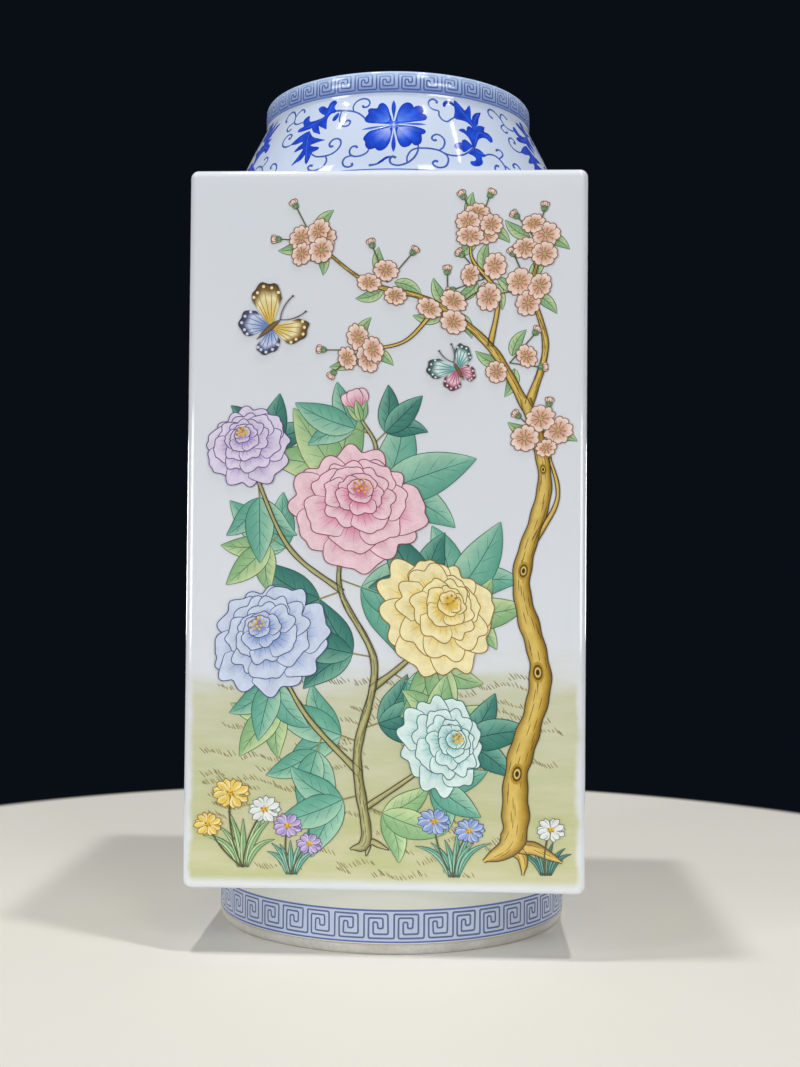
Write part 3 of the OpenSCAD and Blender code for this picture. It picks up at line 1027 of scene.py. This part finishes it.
def leaf(panel, base, tip, width, bend, green, paint=None, lift=None, veins=4):
    """Pointed leaf with a shaded half and a lit half, ribs and an outline."""
    paint, lift = paint or panel.leaves, lift or panel.next_level()
    rib, shade, lit, line = greens(green)
    rows = 13 if veins else 9
    middle, low, high = paint.blade(base, tip, width, bend, (rib, shade, lit), lift, 0.78, rows)
    for edge in (low, high):
        for place in range(2, 2 + 2 * veins, 2):
            vein = np.linspace(middle[place], 0.25 * middle[place + 2] + 0.75 * edge[place + 2], 3)
            paint.stroke(vein, 0.85 * FINE_LINE, 0.5 * shade + 0.2 * line, lift + 0.4 * LEAF_STEP)
        paint.stroke(edge, 1.2 * FINE_LINE, line, lift + 0.7 * LEAF_STEP, ends=(0.6, 0.5))
    paint.stroke(middle[:-1], 1.2 * FINE_LINE, line, lift + 0.7 * LEAF_STEP, ends=(1, 0.4))


def spray(panel, base, heading, size, green, count=3):
    """Leaf made of a few leaflets on one stalk."""
    base, luck = panel.on_stem(base), panel.luck
    joint = base + way(heading) * size * 0.22
    panel.leaves.stroke(np.linspace(base, joint, 5), 0.5, linear(STEM[1]), panel.next_level(), EVEN)
    middle = (count - 1) / 2
    for off in sorted((index - middle for index in range(count)), key=lambda o: -abs(o)):
        length = size * (0.82 - 0.13 * abs(off)) * luck.uniform(0.9, 1.08)
        tip = joint + way(heading + off * 46 + luck.uniform(-6, 6)) * length
        bend = -0.09 * off + luck.uniform(-0.05, 0.05)
        leaf(panel, joint, tip, length * 0.44, bend, green, veins=4 if length > 14 else 3)


# Where the places across a stem lie, from one side to the other, and the rings of a knot: size and tone
STEM_PLACES = np.array([-1, -0.6, -0.1, 0.45, 1])
KNOT_RINGS = ((0.62, 1), (0.46, 0), (0.3, 2), (0.18, 3))


def branch(panel, points, start, end, tones=BARK, paint=None, lift=PETAL_STEP, root=0.0):
    """Stem that narrows from start to end, shaded at its sides. Thick ones have bark lines and knots.

    A stem with a root grows out of a pointed root end of that length."""
    paint, luck = paint or panel.stems, panel.luck
    dark, middle, light = (linear(c) for c in tones)
    path = smooth(points, 1.0)
    panel.paths.append(path)
    step = np.gradient(path, axis=0)
    step /= np.linalg.norm(step, axis=1, keepdims=True)
    side = np.stack([-step[:, 1], step[:, 0]], axis=1)
    run = np.arange(len(path))
    half = np.linspace(start, end, len(path)) / 2 * (1 + 0.12 * np.sin(run * 0.55) * np.sin(run * 0.21 + 1))
    if root:
        half *= np.clip(run / root, 0.06, 1) ** 0.8
    spots = path[:, None, :] + side[:, None, :] * half[:, None, None] * STEM_PLACES[None, :, None]
    tint = np.array([dark, middle, light, light, 0.5 * (dark + middle)])
    paint.grid(spots[..., 0], spots[..., 1], np.repeat(tint[None], len(path), axis=0), lift)
    for hand in (-1, 1):
        paint.stroke(path + hand * side * half[:, None], 1.3 * FINE_LINE, INK, lift + 0.001, ends=(1, 0.6))
    if start > 2:
        for place in range(3, len(path) - 6, 2):
            shift = side[place] * half[place] * luck.uniform(-0.8, 0.7)
            paint.stroke(path[place:place + 5] + shift, FINE_LINE, dark, lift + 0.0007)
    if start > 4:
        for place in range(14 + int(1.6 * root), len(path) - 14, 31):
            spot = path[place] + side[place] * half[place] * luck.uniform(-0.3, 0.3)
            for ring, (size, tone) in enumerate(KNOT_RINGS):
                level = lift + 0.002 + 0.001 * ring
                oval(paint, spot, half[place] * size, step[place], (dark, middle, light, INK)[tone], level)


def trunk(panel, points, start, end, roots, tones=BARK):
    """Thick stem that grows out of its first root. The other roots run into it from behind."""
    for index, root in enumerate(roots):
        lift = 0.002 + 0.001 * index
        branch(panel, root + points[1:3], 0.55 * start, 0.3 * start, tones, lift=lift, root=start)
    branch(panel, points, start, end, tones, lift=0.006, root=1.3 * start)


def daisy(panel, at, size, tone, count=13, squash=0.8, rings=1):
    """Flower of narrow petals in one or more rings. Many rings make a chrysanthemum."""
    _, middle, pale, line = enamel(tone)
    paint = panel.sprigs if rings == 1 else panel.blooms
    luck, shape = panel.luck, tilted(90, squash)
    for ring in range(rings):
        reach = size * (1 - ring / (rings + 0.35))
        number = max(8, int(count * (1 - 0.55 * ring / rings)))
        for index in range(number):
            ray = shape @ way(360 * (index + ring / 2) / number + luck.uniform(-4, 4))
            lift = 0.005 + 0.014 * ring + 0.004 * (index % 3)
            tip = at + ray * reach * luck.uniform(0.92, 1.05)
            base, bend = at + ray * reach * 0.1, 0.06 * (-1) ** index
            tones, width = (middle, pale, middle), 5.4 * reach / number
            _, low, high = paint.blade(base, tip, width, bend, tones, lift, 1.5, 7)
            outline = np.vstack([low[2:], high[-2:1:-1]])
            paint.stroke(outline, FINE_LINE, line, lift + 0.002, ends=(0.5, 0.5))
    spread = size * (0.06 if rings == 1 else 0.03)
    for index in range(10):
        spot = at + shape @ way(index * GOLDEN_ANGLE) * (spread * math.sqrt(index))
        dot(paint, spot, 0.4, GOLD[index % 2], 0.012 + 0.014 * rings + 0.001 * index)


# Rows of a lotus flower from the back to the front: how far each petal swings to the side, and its reach
LOTUS_ROWS = (((-78, 78, -52, 52, -26, 26, 0), 1.0), ((-60, 60, -34, 34, -11, 11), 0.84),
              ((-95, 95, -42, 42, 0), 0.60))


def lotus(panel, at, size, tone, heading):
    """Lotus flower: pointed petals in three rows, deepest in colour at their tips."""
    deep, middle, pale, line = enamel(tone)
    tones, tip_tone = (pale, pale, pale), 0.6 * middle + 0.4 * deep
    paint, lift = panel.blooms, 0.005
    for swings, reach in LOTUS_ROWS:
        for swing in swings:
            tip = at + way(heading + swing) * size * reach * panel.luck.uniform(0.94, 1.04)
            rib, low, high = paint.blade(at, tip, size * 0.41, -0.0016 * swing, tones, lift,
                                         0.95, 17, tip_tone)
            for edge, share in ((low, 0.5), (low, 0.0), (high, 0.5)):
                vein = rib + share * (edge - rib)
                paint.stroke(vein[3:-2], 0.9 * FINE_LINE, middle, lift + 0.0012)
            paint.stroke(np.vstack([low, high[-2::-1]]), LINE, line, lift + 0.002, ends=(0.5, 0.5))
            lift += 0.004


def lotus_leaf(panel, at, size, tilt, share, green):
    """Round leaf on a curved stalk, with a waved edge and veins running out from its middle."""
    rib, shade, lit, line = greens(green)
    at, paint = point(at), panel.leaves
    root = np.array([0.55 * at[0], 30.0])
    bow = 0.5 * (root + at) + (0.12 * at[0], 4)
    branch(panel, (root, bow, at), 1.5, 1.2, STEM, paint, panel.next_level(), 5)
    lift = panel.next_level()
    angles = np.linspace(0, 360, 61)
    wave = np.radians(angles)
    edge = size * (1 + 0.05 * np.sin(7 * wave + size) + 0.03 * np.sin(13 * wave))
    rays = ray_fan(angles, tilted(tilt, share))
    paint.fan(at, rays, edge, ((0, lit), (0.25, rib), (0.8, shade), (0.93, rib), (1, lit)), lift, 9)
    for place in range(0, 60, 4):
        vein = at + np.linspace(0.06, 0.9, 10)[:, None] * edge[place] * rays[place]
        paint.stroke(vein, 1.2 * FINE_LINE, line, lift + 0.4 * LEAF_STEP, ends=(1, 0.3))
    paint.stroke(at + edge[:, None] * rays, LINE, line, lift + 0.7 * LEAF_STEP, EVEN)
    dot(paint, at, 0.8, lit, lift + 0.8 * LEAF_STEP)


def bamboo(panel, points, width, green, hand):
    """Jointed cane with drooping leaves at its joints, the first ones on the given hand."""
    points = point(points)
    for low, high in zip(points, points[1:]):
        gap = (high - low) * 0.02
        branch(panel, np.linspace(low + gap, high - gap, 4), width, width * 0.94, CANE)
    for joint in points[1:-1]:
        twig = joint + (hand * 6, 6)
        panel.stems.stroke(np.linspace(joint, twig, 7), 0.55, linear(CANE[0]), 0.005, ends=(1, 0.7))
        for swing in (-75, -50, -25, 5):
            tip = twig + way(90 - hand * (90 - swing)) * panel.luck.uniform(12, 17)
            leaf(panel, twig, tip, 2.9, 0.05 * hand, green, veins=0)
        hand = -hand


def butterfly(panel, at, size, heading, tone, under):
    """Butterfly seen from above: two pairs of spotted wings, body and feelers."""
    paint, dark = panel.blooms, linear("4B4038")
    share = np.linspace(-1, 1, 21)
    # Height of each wing, its turn from the head, reach, spread and colour
    wings = ((0.005, 128, 0.72, 70, under), (0.015, 58, 1.0, 56, tone))
    for hand in (-1, 1):
        shape = tilted(heading + 90, 1.0 if hand > 0 else 0.72)
        for lift, swing, reach, spread, name in wings:
            deep, middle, pale, line = enamel(name)
            edge = size * reach * (1 - 0.3 * np.abs(share) ** 2.5 + 0.03 * np.sin(9 * share))
            rays = ray_fan(heading + hand * (swing + share * spread / 2), shape)
            stops = ((0, deep), (0.3, middle), (0.7, pale), (0.8, deep), (0.86, dark), (1, dark))
            paint.fan(at, rays, edge, stops, lift)
            for place in (3, 7, 11, 15, 18):
                vein = at + np.linspace(0.15, 0.85, 6)[:, None] * edge[place] * rays[place]
                paint.stroke(vein, FINE_LINE, line, lift + 0.002)
                dot(paint, at + 0.9 * edge[place] * rays[place], size * 0.035, pale, lift + 0.004)
    back = at - way(heading) * size * 0.42
    head = at + way(heading) * size * 0.26
    paint.blade(back, head, size * 0.13, 0.0, (linear("8A7350"), dark, dark), 0.025, 1.3)
    for hand in (-1, 1):
        tip = head + way(heading + 22 * hand) * size * 0.6
        feeler = blade_line(head, tip, 0.1 * hand, np.linspace(0, 1, 9)[:, None])
        paint.stroke(feeler, FINE_LINE, dark, 0.025, ends=(1, 0.6))
        dot(paint, tip, 0.3, dark, 0.027)


def grass(panel):
    """Rows of short slanting brush strokes on the ground."""
    luck = panel.luck
    for row in range(GRASS_ROWS):
        place = (row + luck.random()) / GRASS_ROWS
        u = luck.uniform(-ART_W, ART_W - 18)
        v = GROUND[0] + (GROUND[1] - GROUND[0]) * place
        for index in range(luck.randint(6, 18)):
            u += luck.uniform(0.55, 1.35)
            spot = np.array([u, v + 0.7 * math.sin(0.5 * index + row)])
            size = luck.uniform(1.0, 2.9)
            tip = spot + (-luck.uniform(0.4, 0.8) * size, 0.75 * size)
            if tip[0] > -ART_W and spot[0] < ART_W:
                tint = linear(GRASS_INK[index % 3])
                panel.leaves.stroke(np.linspace(spot, tip, 4), 0.32, tint, 0.012, ends=(1, 0.2))


def tuft(panel, at, size, green, flowers=(), count=7, lean=17):
    """Tuft of arching leaves, with small flowers on stalks: each is (heading, reach, size, colour)."""
    at, luck = point(at), panel.luck
    for index in range(count):
        off = index - (count - 1) / 2
        tip = at + way(90 - off * lean + luck.uniform(-5, 5)) * size * luck.uniform(0.7, 1.1)
        leaf(panel, at + (off * 0.5, 0), tip, min(0.9 + size * 0.05, 2.8), 0.06 * off, green, veins=0)
    for heading, reach, bloom, tone in flowers:
        spot = at + way(heading) * reach
        stalk = blade_line(at, spot, 0.08, np.linspace(0, 1, 12)[:, None])
        panel.stems.stroke(stalk, 0.5, linear(STEM[0]), 0.005, EVEN)
        daisy(panel, spot, bloom, tone)


def sprig(panel, at, heading, size, tone, count=4):
    """Blossoms, buds and young leaves round the end of a twig."""
    luck = panel.luck
    for index in range(3):
        spot = at + way(heading + 120 * index + 40) * size * 0.5
        tip = spot + way(heading + 110 * index + luck.uniform(0, 60)) * size * 2.0
        leaf(panel, spot, tip, size * 0.8, 0.1, "young", veins=3)
    for index in range(count):
        turn = heading + 360 * index / count + luck.uniform(-20, 20)
        spot = at + way(turn) * size * luck.uniform(0.7, 1.3)
        blossom(panel, spot, size * luck.uniform(0.75, 1.05), tone, heading, 0.03 + 0.04 * (index % 3))
    for swing in (-28, 30):
        spot = at + way(heading + swing + luck.uniform(-12, 12)) * size * luck.uniform(1.9, 2.6)
        panel.stems.stroke(np.linspace(at, spot, 6), 0.35, linear(STEM[0]), 0.005, EVEN)
        bud(panel, spot, size * 0.62, tone, heading + swing)


# Places on the panels are (across, height) in mm, directions are degrees from the right

def paint_front(panel):
    """Peonies and a flowering crab-apple, with butterflies."""
    grass(panel)
    trunk(panel, ((31, 30), (40, 37), (41, 58), (48, 86), (42, 116), (49, 146), (43, 172)), 8.5, 3.4,
          (((43, 26), (43, 31)), ((55, 30), (47, 34))))
    boughs = ((2.9, ((44, 168), (32, 188), (14, 202), (-6, 208), (-22, 220))),
              (2.5, ((44, 170), (49, 188), (45, 206), (48, 220))), (1.8, ((46, 128), (53, 142), (49, 158))),
              (1.4, ((16, 201), (6, 190), (-6, 187))), (1.6, ((32, 188), (34, 204), (26, 216), (28, 226))))
    for width, points in boughs:
        branch(panel, points, width, 0.6)
    sprigs = (((-23, 221), 150, 5), ((-8, 187), 200, 4), ((0, 208), 80, 3), ((19, 199), 60, 3),
              ((28, 225), 90, 5), ((30, 209), 170, 3), ((44, 206), 150, 3), ((46, 221), 110, 4),
              ((48, 160), 110, 4), ((38, 183), 30, 2))
    for at, heading, count in sprigs:
        sprig(panel, at, heading, 4.6, "peach", count)
    trunk(panel, ((-10, 33), (-5, 37), (-8, 62), (-3, 90), (-14, 114), (-10, 138)), 3.3, 0.9,
          (((-5, 31), (-4.5, 34)), ((2, 33), (-3, 35.5))), STEM)
    stems = ((2.0, ((-7, 56), (-24, 74), (-35, 94))), (2.0, ((-4, 82), (8, 92), (17, 104))),
             (1.6, ((-13, 112), (-30, 126), (-42, 152))), (1.3, ((-10, 138), (-3, 155), (-8, 166))),
             (1.7, ((-5, 46), (12, 58), (20, 66))))
    for width, points in stems:
        branch(panel, points, width, 0.9, STEM)
    blooms = (((-9, 139), 22, "pink", 75), ((17, 106), 20, "yellow", 40), ((-36, 98), 19, "blue", 130),
              ((-43, 158), 14, "lilac", 120), ((19, 66), 15, "aqua", 20))
    for at, size, tone, lean in blooms:
        peony(panel, at, size, tone, lean)
    bud(panel, (-8, 166), 9, "pink", 105)
    sprays = (((-6, 66), 160, 27, "sea"), ((-6, 70), 20, 25, "deep"), ((-18, 68), 250, 24, "sea"),
              ((-28, 80), 225, 24, "young"), ((-34, 90), 260, 26, "sea"), ((-4, 92), 170, 30, "deep"),
              ((2, 88), 330, 24, "sea"), ((12, 98), 290, 28, "young"), ((-13, 116), 340, 34, "sea"),
              ((-14, 112), 200, 32, "deep"), ((-26, 122), 140, 26, "sea"), ((-32, 130), 225, 22, "young"),
              ((-39, 146), 275, 24, "sea"), ((-38, 150), 70, 25, "deep"), ((-11, 140), 25, 38, "sea"),
              ((-11, 140), 120, 36, "young"), ((-5, 158), 45, 21, "deep"), ((-6, 160), 160, 24, "sea"),
              ((17, 106), 60, 33, "sea"), ((17, 106), 120, 30, "deep"), ((17, 106), 8, 25, "young"),
              ((10, 56), 330, 25, "sea"), ((16, 62), 80, 26, "young"), ((19, 66), 10, 25, "deep"),
              ((-5, 50), 195, 28, "sea"), ((-5, 46), 340, 24, "young"))
    for base, heading, size, green in sprays:
        spray(panel, base, heading, size, green)
    tuft(panel, (-43, 27), 18, "young",
         ((100, 23, 6.0, "yellow"), (70, 19, 5.2, "white"), (130, 17, 4.6, "yellow")))
    tuft(panel, (-28, 25), 14, "sea", ((95, 15, 4.8, "lilac"), (60, 11, 4.2, "lilac")))
    tuft(panel, (22, 25), 16, "sea", ((110, 18, 5.2, "blue"), (72, 15, 4.8, "blue")))
    tuft(panel, (50, 26), 10, "deep", ((84, 14, 4.6, "white"),))
    butterfly(panel, (-36, 194), 14, 40, "yellow", "blue")
    butterfly(panel, (22, 181), 9.5, 120, "aqua", "pink")


def paint_right(panel):
    """Lotus with reeds and butterflies."""
    grass(panel)
    tuft(panel, (-42, 28), 62, "young", count=6, lean=4)
    tuft(panel, (42, 28), 70, "sea", count=6, lean=4)
    leaves = (((-34, 148), 22, 60, 0.6, "deep"), ((26, 132), 29, 100, 0.5, "sea"),
              ((-26, 100), 29, 80, 0.55, "sea"), ((34, 84), 22, 90, 0.42, "young"),
              ((4, 68), 27, 90, 0.4, "deep"), ((-36, 58), 19, 90, 0.4, "young"))
    for at, size, tilt, share, green in leaves:
        lotus_leaf(panel, at, size, tilt, share, green)
    flowers = (((-8, 164), 28, "pink", 95), ((32, 180), 22, "white", 75), ((6, 104), 21, "lilac", 100),
               ((-40, 186), 16, "pink", 105), ((-22, 62), 15, "yellow", 95))
    for at, size, tone, heading in flowers:
        stalk = ((0.3 * at[0] + 4, 30), (0.6 * at[0] + 6, 0.6 * at[1]), at)
        branch(panel, stalk, 1.9, 1.4, STEM, root=5)
        lotus(panel, at, size, tone, heading)
    for at, heading in (((12, 204), 95), ((46, 148), 80)):
        branch(panel, ((0.4 * at[0], 32), (0.8 * at[0], 0.6 * at[1]), at), 1.6, 1.0, STEM, root=5)
        bud(panel, at, 14, "pink", heading)
    tuft(panel, (0, 25), 20, "olive", ((70, 19, 5.0, "blue"), (105, 22, 5.4, "blue")))
    tuft(panel, (30, 25), 17, "deep", ((95, 17, 4.8, "white"),))
    tuft(panel, (-20, 24), 15, "sea")
    butterfly(panel, (-16, 218), 13, 120, "blue", "yellow")
    butterfly(panel, (40, 216), 10, 60, "aqua", "pink")


def paint_back(panel):
    """Chrysanthemums with asters and butterflies."""
    luck = panel.luck
    grass(panel)
    stems = (((4, 34), (8, 70), (-4, 104), (4, 150)), ((2, 40), (-20, 76), (-32, 116)),
             ((6, 60), (26, 86), (33, 122)), ((0, 112), (-14, 146), (-30, 178)),
             ((4, 140), (20, 162), (28, 186)), ((4, 44), (22, 54), (33, 68)),
             ((2, 42), (-22, 54), (-36, 66)))
    for points in stems:
        branch(panel, points, 2.6, 1.1, STEM, root=4)
        path = panel.paths[-1]
        for share in (0.4, 0.62, 0.86):
            for hand in (-1, 1):
                heading = 90 + hand * luck.uniform(40, 90)
                size = luck.uniform(17, 23)
                green = luck.choice(("sea", "deep", "young"))
                spray(panel, path[int(share * len(path))], heading, size, green, 5)
    blooms = (((4, 152), 24, "yellow"), ((-33, 118), 21, "lilac"), ((34, 124), 20, "pink"),
              ((-31, 182), 18, "white"), ((28, 190), 18, "aqua"), ((34, 70), 16, "blue"),
              ((-38, 68), 15, "peach"), ((2, 92), 14, "pink"))
    for at, size, tone in blooms:
        daisy(panel, at, size, tone, 27, 0.88, 5)
    tuft(panel, (-44, 26), 18, "young", ((95, 20, 5.2, "blue"), (70, 16, 4.8, "white")))
    tuft(panel, (44, 26), 18, "sea", ((100, 21, 5.4, "yellow"), (125, 15, 4.8, "yellow")))
    tuft(panel, (-14, 25), 14, "olive")
    tuft(panel, (20, 25), 16, "deep", ((80, 14, 4.6, "lilac"),))
    butterfly(panel, (-2, 210), 14, 60, "pink", "yellow")
    butterfly(panel, (44, 218), 10, 130, "blue", "lilac")


def paint_left(panel):
    """Plum blossom and bamboo over camellias."""
    grass(panel)
    bamboo(panel, ((30, 34), (33, 72), (34, 112), (33, 150), (31, 188), (27, 226)), 3.4, "sea", 1)
    bamboo(panel, ((36, 30), (38, 60), (39, 92), (38, 124)), 2.4, "young", -1)
    trunk(panel, ((-43, 30), (-32, 38), (-38, 62), (-27, 92), (-37, 122), (-23, 150)), 9.5, 4.4,
          (((-29, 27), (-30, 32)), ((-15, 30), (-25, 34))))
    boughs = ((3.6, ((-26, 146), (-6, 164), (6, 190), (20, 202))),
              (3.2, ((-26, 148), (-37, 172), (-29, 198), (-38, 218))),
              (2.6, ((-32, 104), (-10, 116), (8, 134), (20, 136))), (1.8, ((4, 186), (-6, 206), (2, 222))),
              (1.4, ((-36, 176), (-46, 190))), (1.4, ((-8, 116), (0, 104), (12, 102))))
    for width, points in boughs:
        branch(panel, points, width, 0.7)
    sprigs = (((20, 203), 40, "pink"), ((2, 222), 90, "pink"), ((-37, 218), 100, "pink"),
              ((-45, 189), 120, "white"), ((-30, 196), 30, "pink"), ((20, 137), 10, "white"),
              ((12, 102), 330, "pink"), ((6, 182), 330, "white"), ((-8, 163), 120, "pink"),
              ((-4, 120), 100, "pink"), ((-36, 130), 150, "white"), ((-6, 204), 170, "white"))
    for at, heading, tone in sprigs:
        sprig(panel, at, heading, 5.0, tone, 3)
    camellias = (((-6, 68), 18, "pink", 70), ((17, 50), 14, "yellow", 40), ((-37, 50), 14, "blue", 100))
    for at, size, tone, lean in camellias:
        branch(panel, ((0.8 * at[0], 29), (0.9 * at[0], 0.7 * at[1]), at), 1.8, 1.0, STEM, root=4)
        for index, swing in enumerate((-150, -100, -40, 20, 70, 130)):
            spray(panel, at, lean + swing, size * 1.5, ("deep", "sea")[index % 2], 2)
        peony(panel, at, size, tone, lean, CAMELLIA_RINGS)
    tuft(panel, (42, 25), 16, "young", ((100, 16, 5.0, "lilac"),))
    tuft(panel, (31, 27), 13, "sea")
    tuft(panel, (-20, 25), 15, "sea", ((80, 15, 4.8, "yellow"), (110, 12, 4.4, "yellow")))
    butterfly(panel, (-18, 220), 11, 50, "yellow", "pink")
    butterfly(panel, (46, 208), 10, 130, "blue", "aqua")


def build_panels():
    enamels = paint_material("enamels", 0.14, 300.0, 0.10)
    sides = (("front", paint_front), ("right", paint_right), ("back", paint_back), ("left", paint_left))
    for index, (side, draw) in enumerate(sides):
        panel = Panel(90 * index)
        draw(panel)
        panel.build(side, enamels)


# Stage, lamps and camera, in metres

BACKDROP = "0A0E15"
# Radius of the pale floor, and half the width of its soft edge
FLOOR_R, FLOOR_EDGE = 0.28, 0.006
# What the lamps point at: the body's middle or the neck
MIDDLE, COLLAR = (0.0, 0.0, 0.14), (0.0, 0.0, 0.26)
UPRIGHT = (0, 0, 1)
# Each lamp: place, aim, width and height, power, and the direction that its height runs along
LAMPS = {
    "key_left": ((-0.95, -1.05, 0.16), MIDDLE, (0.8, 0.3), 7.2, UPRIGHT),
    "fill_right": ((0.95, -1.05, 0.16), MIDDLE, (0.8, 0.3), 5.2, UPRIGHT),
    "top_left": ((-0.22, -0.10, 1.56), MIDDLE, (0.07, 0.07), 5.9, UPRIGHT),
    "top_right": ((0.32, -0.28, 1.56), MIDDLE, (0.07, 0.07), 5.9, UPRIGHT),
    "back_left": ((-1.20, 1.25, 0.16), MIDDLE, (0.8, 0.3), 6.0, UPRIGHT),
    "back_right": ((1.20, 1.25, 0.16), MIDDLE, (0.8, 0.3), 6.0, UPRIGHT),
    "small_left": ((-0.59, -0.24, 1.42), COLLAR, (0.045, 0.075), 0.25, UPRIGHT),
    "tube_right": ((0.685, -0.405, 1.29), COLLAR, (0.035, 0.53), 0.9, (-0.19, 0.41, 0.28)),
    "front_left": ((-0.89, -0.70, 0.98), COLLAR, (0.22, 0.26), 1.6, UPRIGHT),
    "front_right": ((0.45, -1.04, 0.98), COLLAR, (0.22, 0.26), 1.6, UPRIGHT),
    "bar_left": ((-0.93, -0.87, 0.722), COLLAR, (0.36, 0.085), 1.0, UPRIGHT),
    "bar_right": ((0.795, -0.995, 0.722), COLLAR, (0.50, 0.085), 1.3, UPRIGHT),
}
# Camera fitted to the photograph: turns in radians, focal length in the photograph's pixels, sensor in mm
CAMERA_AT = (0.0239, -0.4936, 0.1202)
CAMERA_YAW = 0.0447
CAMERA_PITCH = 0.0231
CAMERA_ROLL = 0.0080
FOCAL_PX = 1401
PHOTO_W = 800
SENSOR = 36.0


def mix_shaders(tree, factor, first, second, output):
    """Sends to the output the first shader turning into the second with the factor."""
    mixed = node(tree, "ShaderNodeMixShader", {0: factor, 1: first.outputs[0], 2: second.outputs[0]})
    tree.links.new(mixed.outputs[0], tree.nodes[output].inputs["Surface"])


def build_stage():
    """Round pale floor, with a dark backdrop all round it."""
    bpy.ops.mesh.primitive_circle_add(vertices=96, radius=3.0, fill_type="NGON")
    floor = bpy.context.object
    floor.name = "floor"
    material, tree, shader, place = start_material("floor_pale", 0.6)
    dress(tree, shader, blend(tree, noise(tree, place, 6.0), rgba("ECE9E0"), rgba("F1EEE6")))
    shader.inputs["Specular IOR Level"].default_value = 0.0
    beyond = ramp(tree, length(tree, place), (FLOOR_R - FLOOR_EDGE, FLOOR_R + FLOOR_EDGE))
    dark = node(tree, "ShaderNodeEmission", {"Color": rgba(BACKDROP), "Strength": 1.0})
    mix_shaders(tree, beyond, shader, dark, "Material Output")
    floor.data.materials.append(material)
    world = bpy.data.worlds.new("studio")
    bpy.context.scene.world = world
    world.use_nodes = True
    tree = world.node_tree
    light = tree.nodes["Background"]
    light.inputs["Color"].default_value = rgba("CECCC6")
    light.inputs["Strength"].default_value = 0.16
    seen = node(tree, "ShaderNodeBackground", {"Color": rgba(BACKDROP), "Strength": 1.0})
    camera_ray = node(tree, "ShaderNodeLightPath").outputs["Is Camera Ray"]
    mix_shaders(tree, camera_ray, light, seen, "World Output")


def build_lights():
    """Rectangular lamps round the vase, and small ones for the highlights on the neck."""
    for name, (at, aim, size, power, along) in LAMPS.items():
        lamp = bpy.data.lights.new(name, "AREA")
        lamp.shape = "RECTANGLE"
        lamp.size, lamp.size_y = size
        lamp.energy = power
        back = (Vector(at) - Vector(aim)).normalized()
        side = Vector(along).cross(back).normalized()
        holder = bpy.data.objects.new(name, lamp)
        turned = Matrix((side, back.cross(side), back)).transposed().to_4x4()
        holder.matrix_world = Matrix.Translation(at) @ turned
        bpy.context.scene.collection.objects.link(holder)


def build_camera():
    lens = bpy.data.cameras.new("camera")
    lens.sensor_fit = "HORIZONTAL"
    lens.sensor_width = SENSOR
    lens.lens = FOCAL_PX * SENSOR / PHOTO_W
    lens.clip_start = 0.01
    camera = bpy.data.objects.new("camera", lens)
    level = Matrix.Rotation(CAMERA_YAW, 4, "Z") @ Matrix.Rotation(math.pi / 2 + CAMERA_PITCH, 4, "X")
    camera.matrix_world = Matrix.Translation(CAMERA_AT) @ level @ Matrix.Rotation(CAMERA_ROLL, 4, "Z")
    bpy.context.scene.collection.objects.link(camera)
    bpy.context.scene.camera = camera


build_body()
build_neck()
build_foot()
build_frets()
build_scroll()
build_panels()
build_stage()
build_lights()
build_camera()
bpy.context.scene.view_settings.view_transform = "Standard"
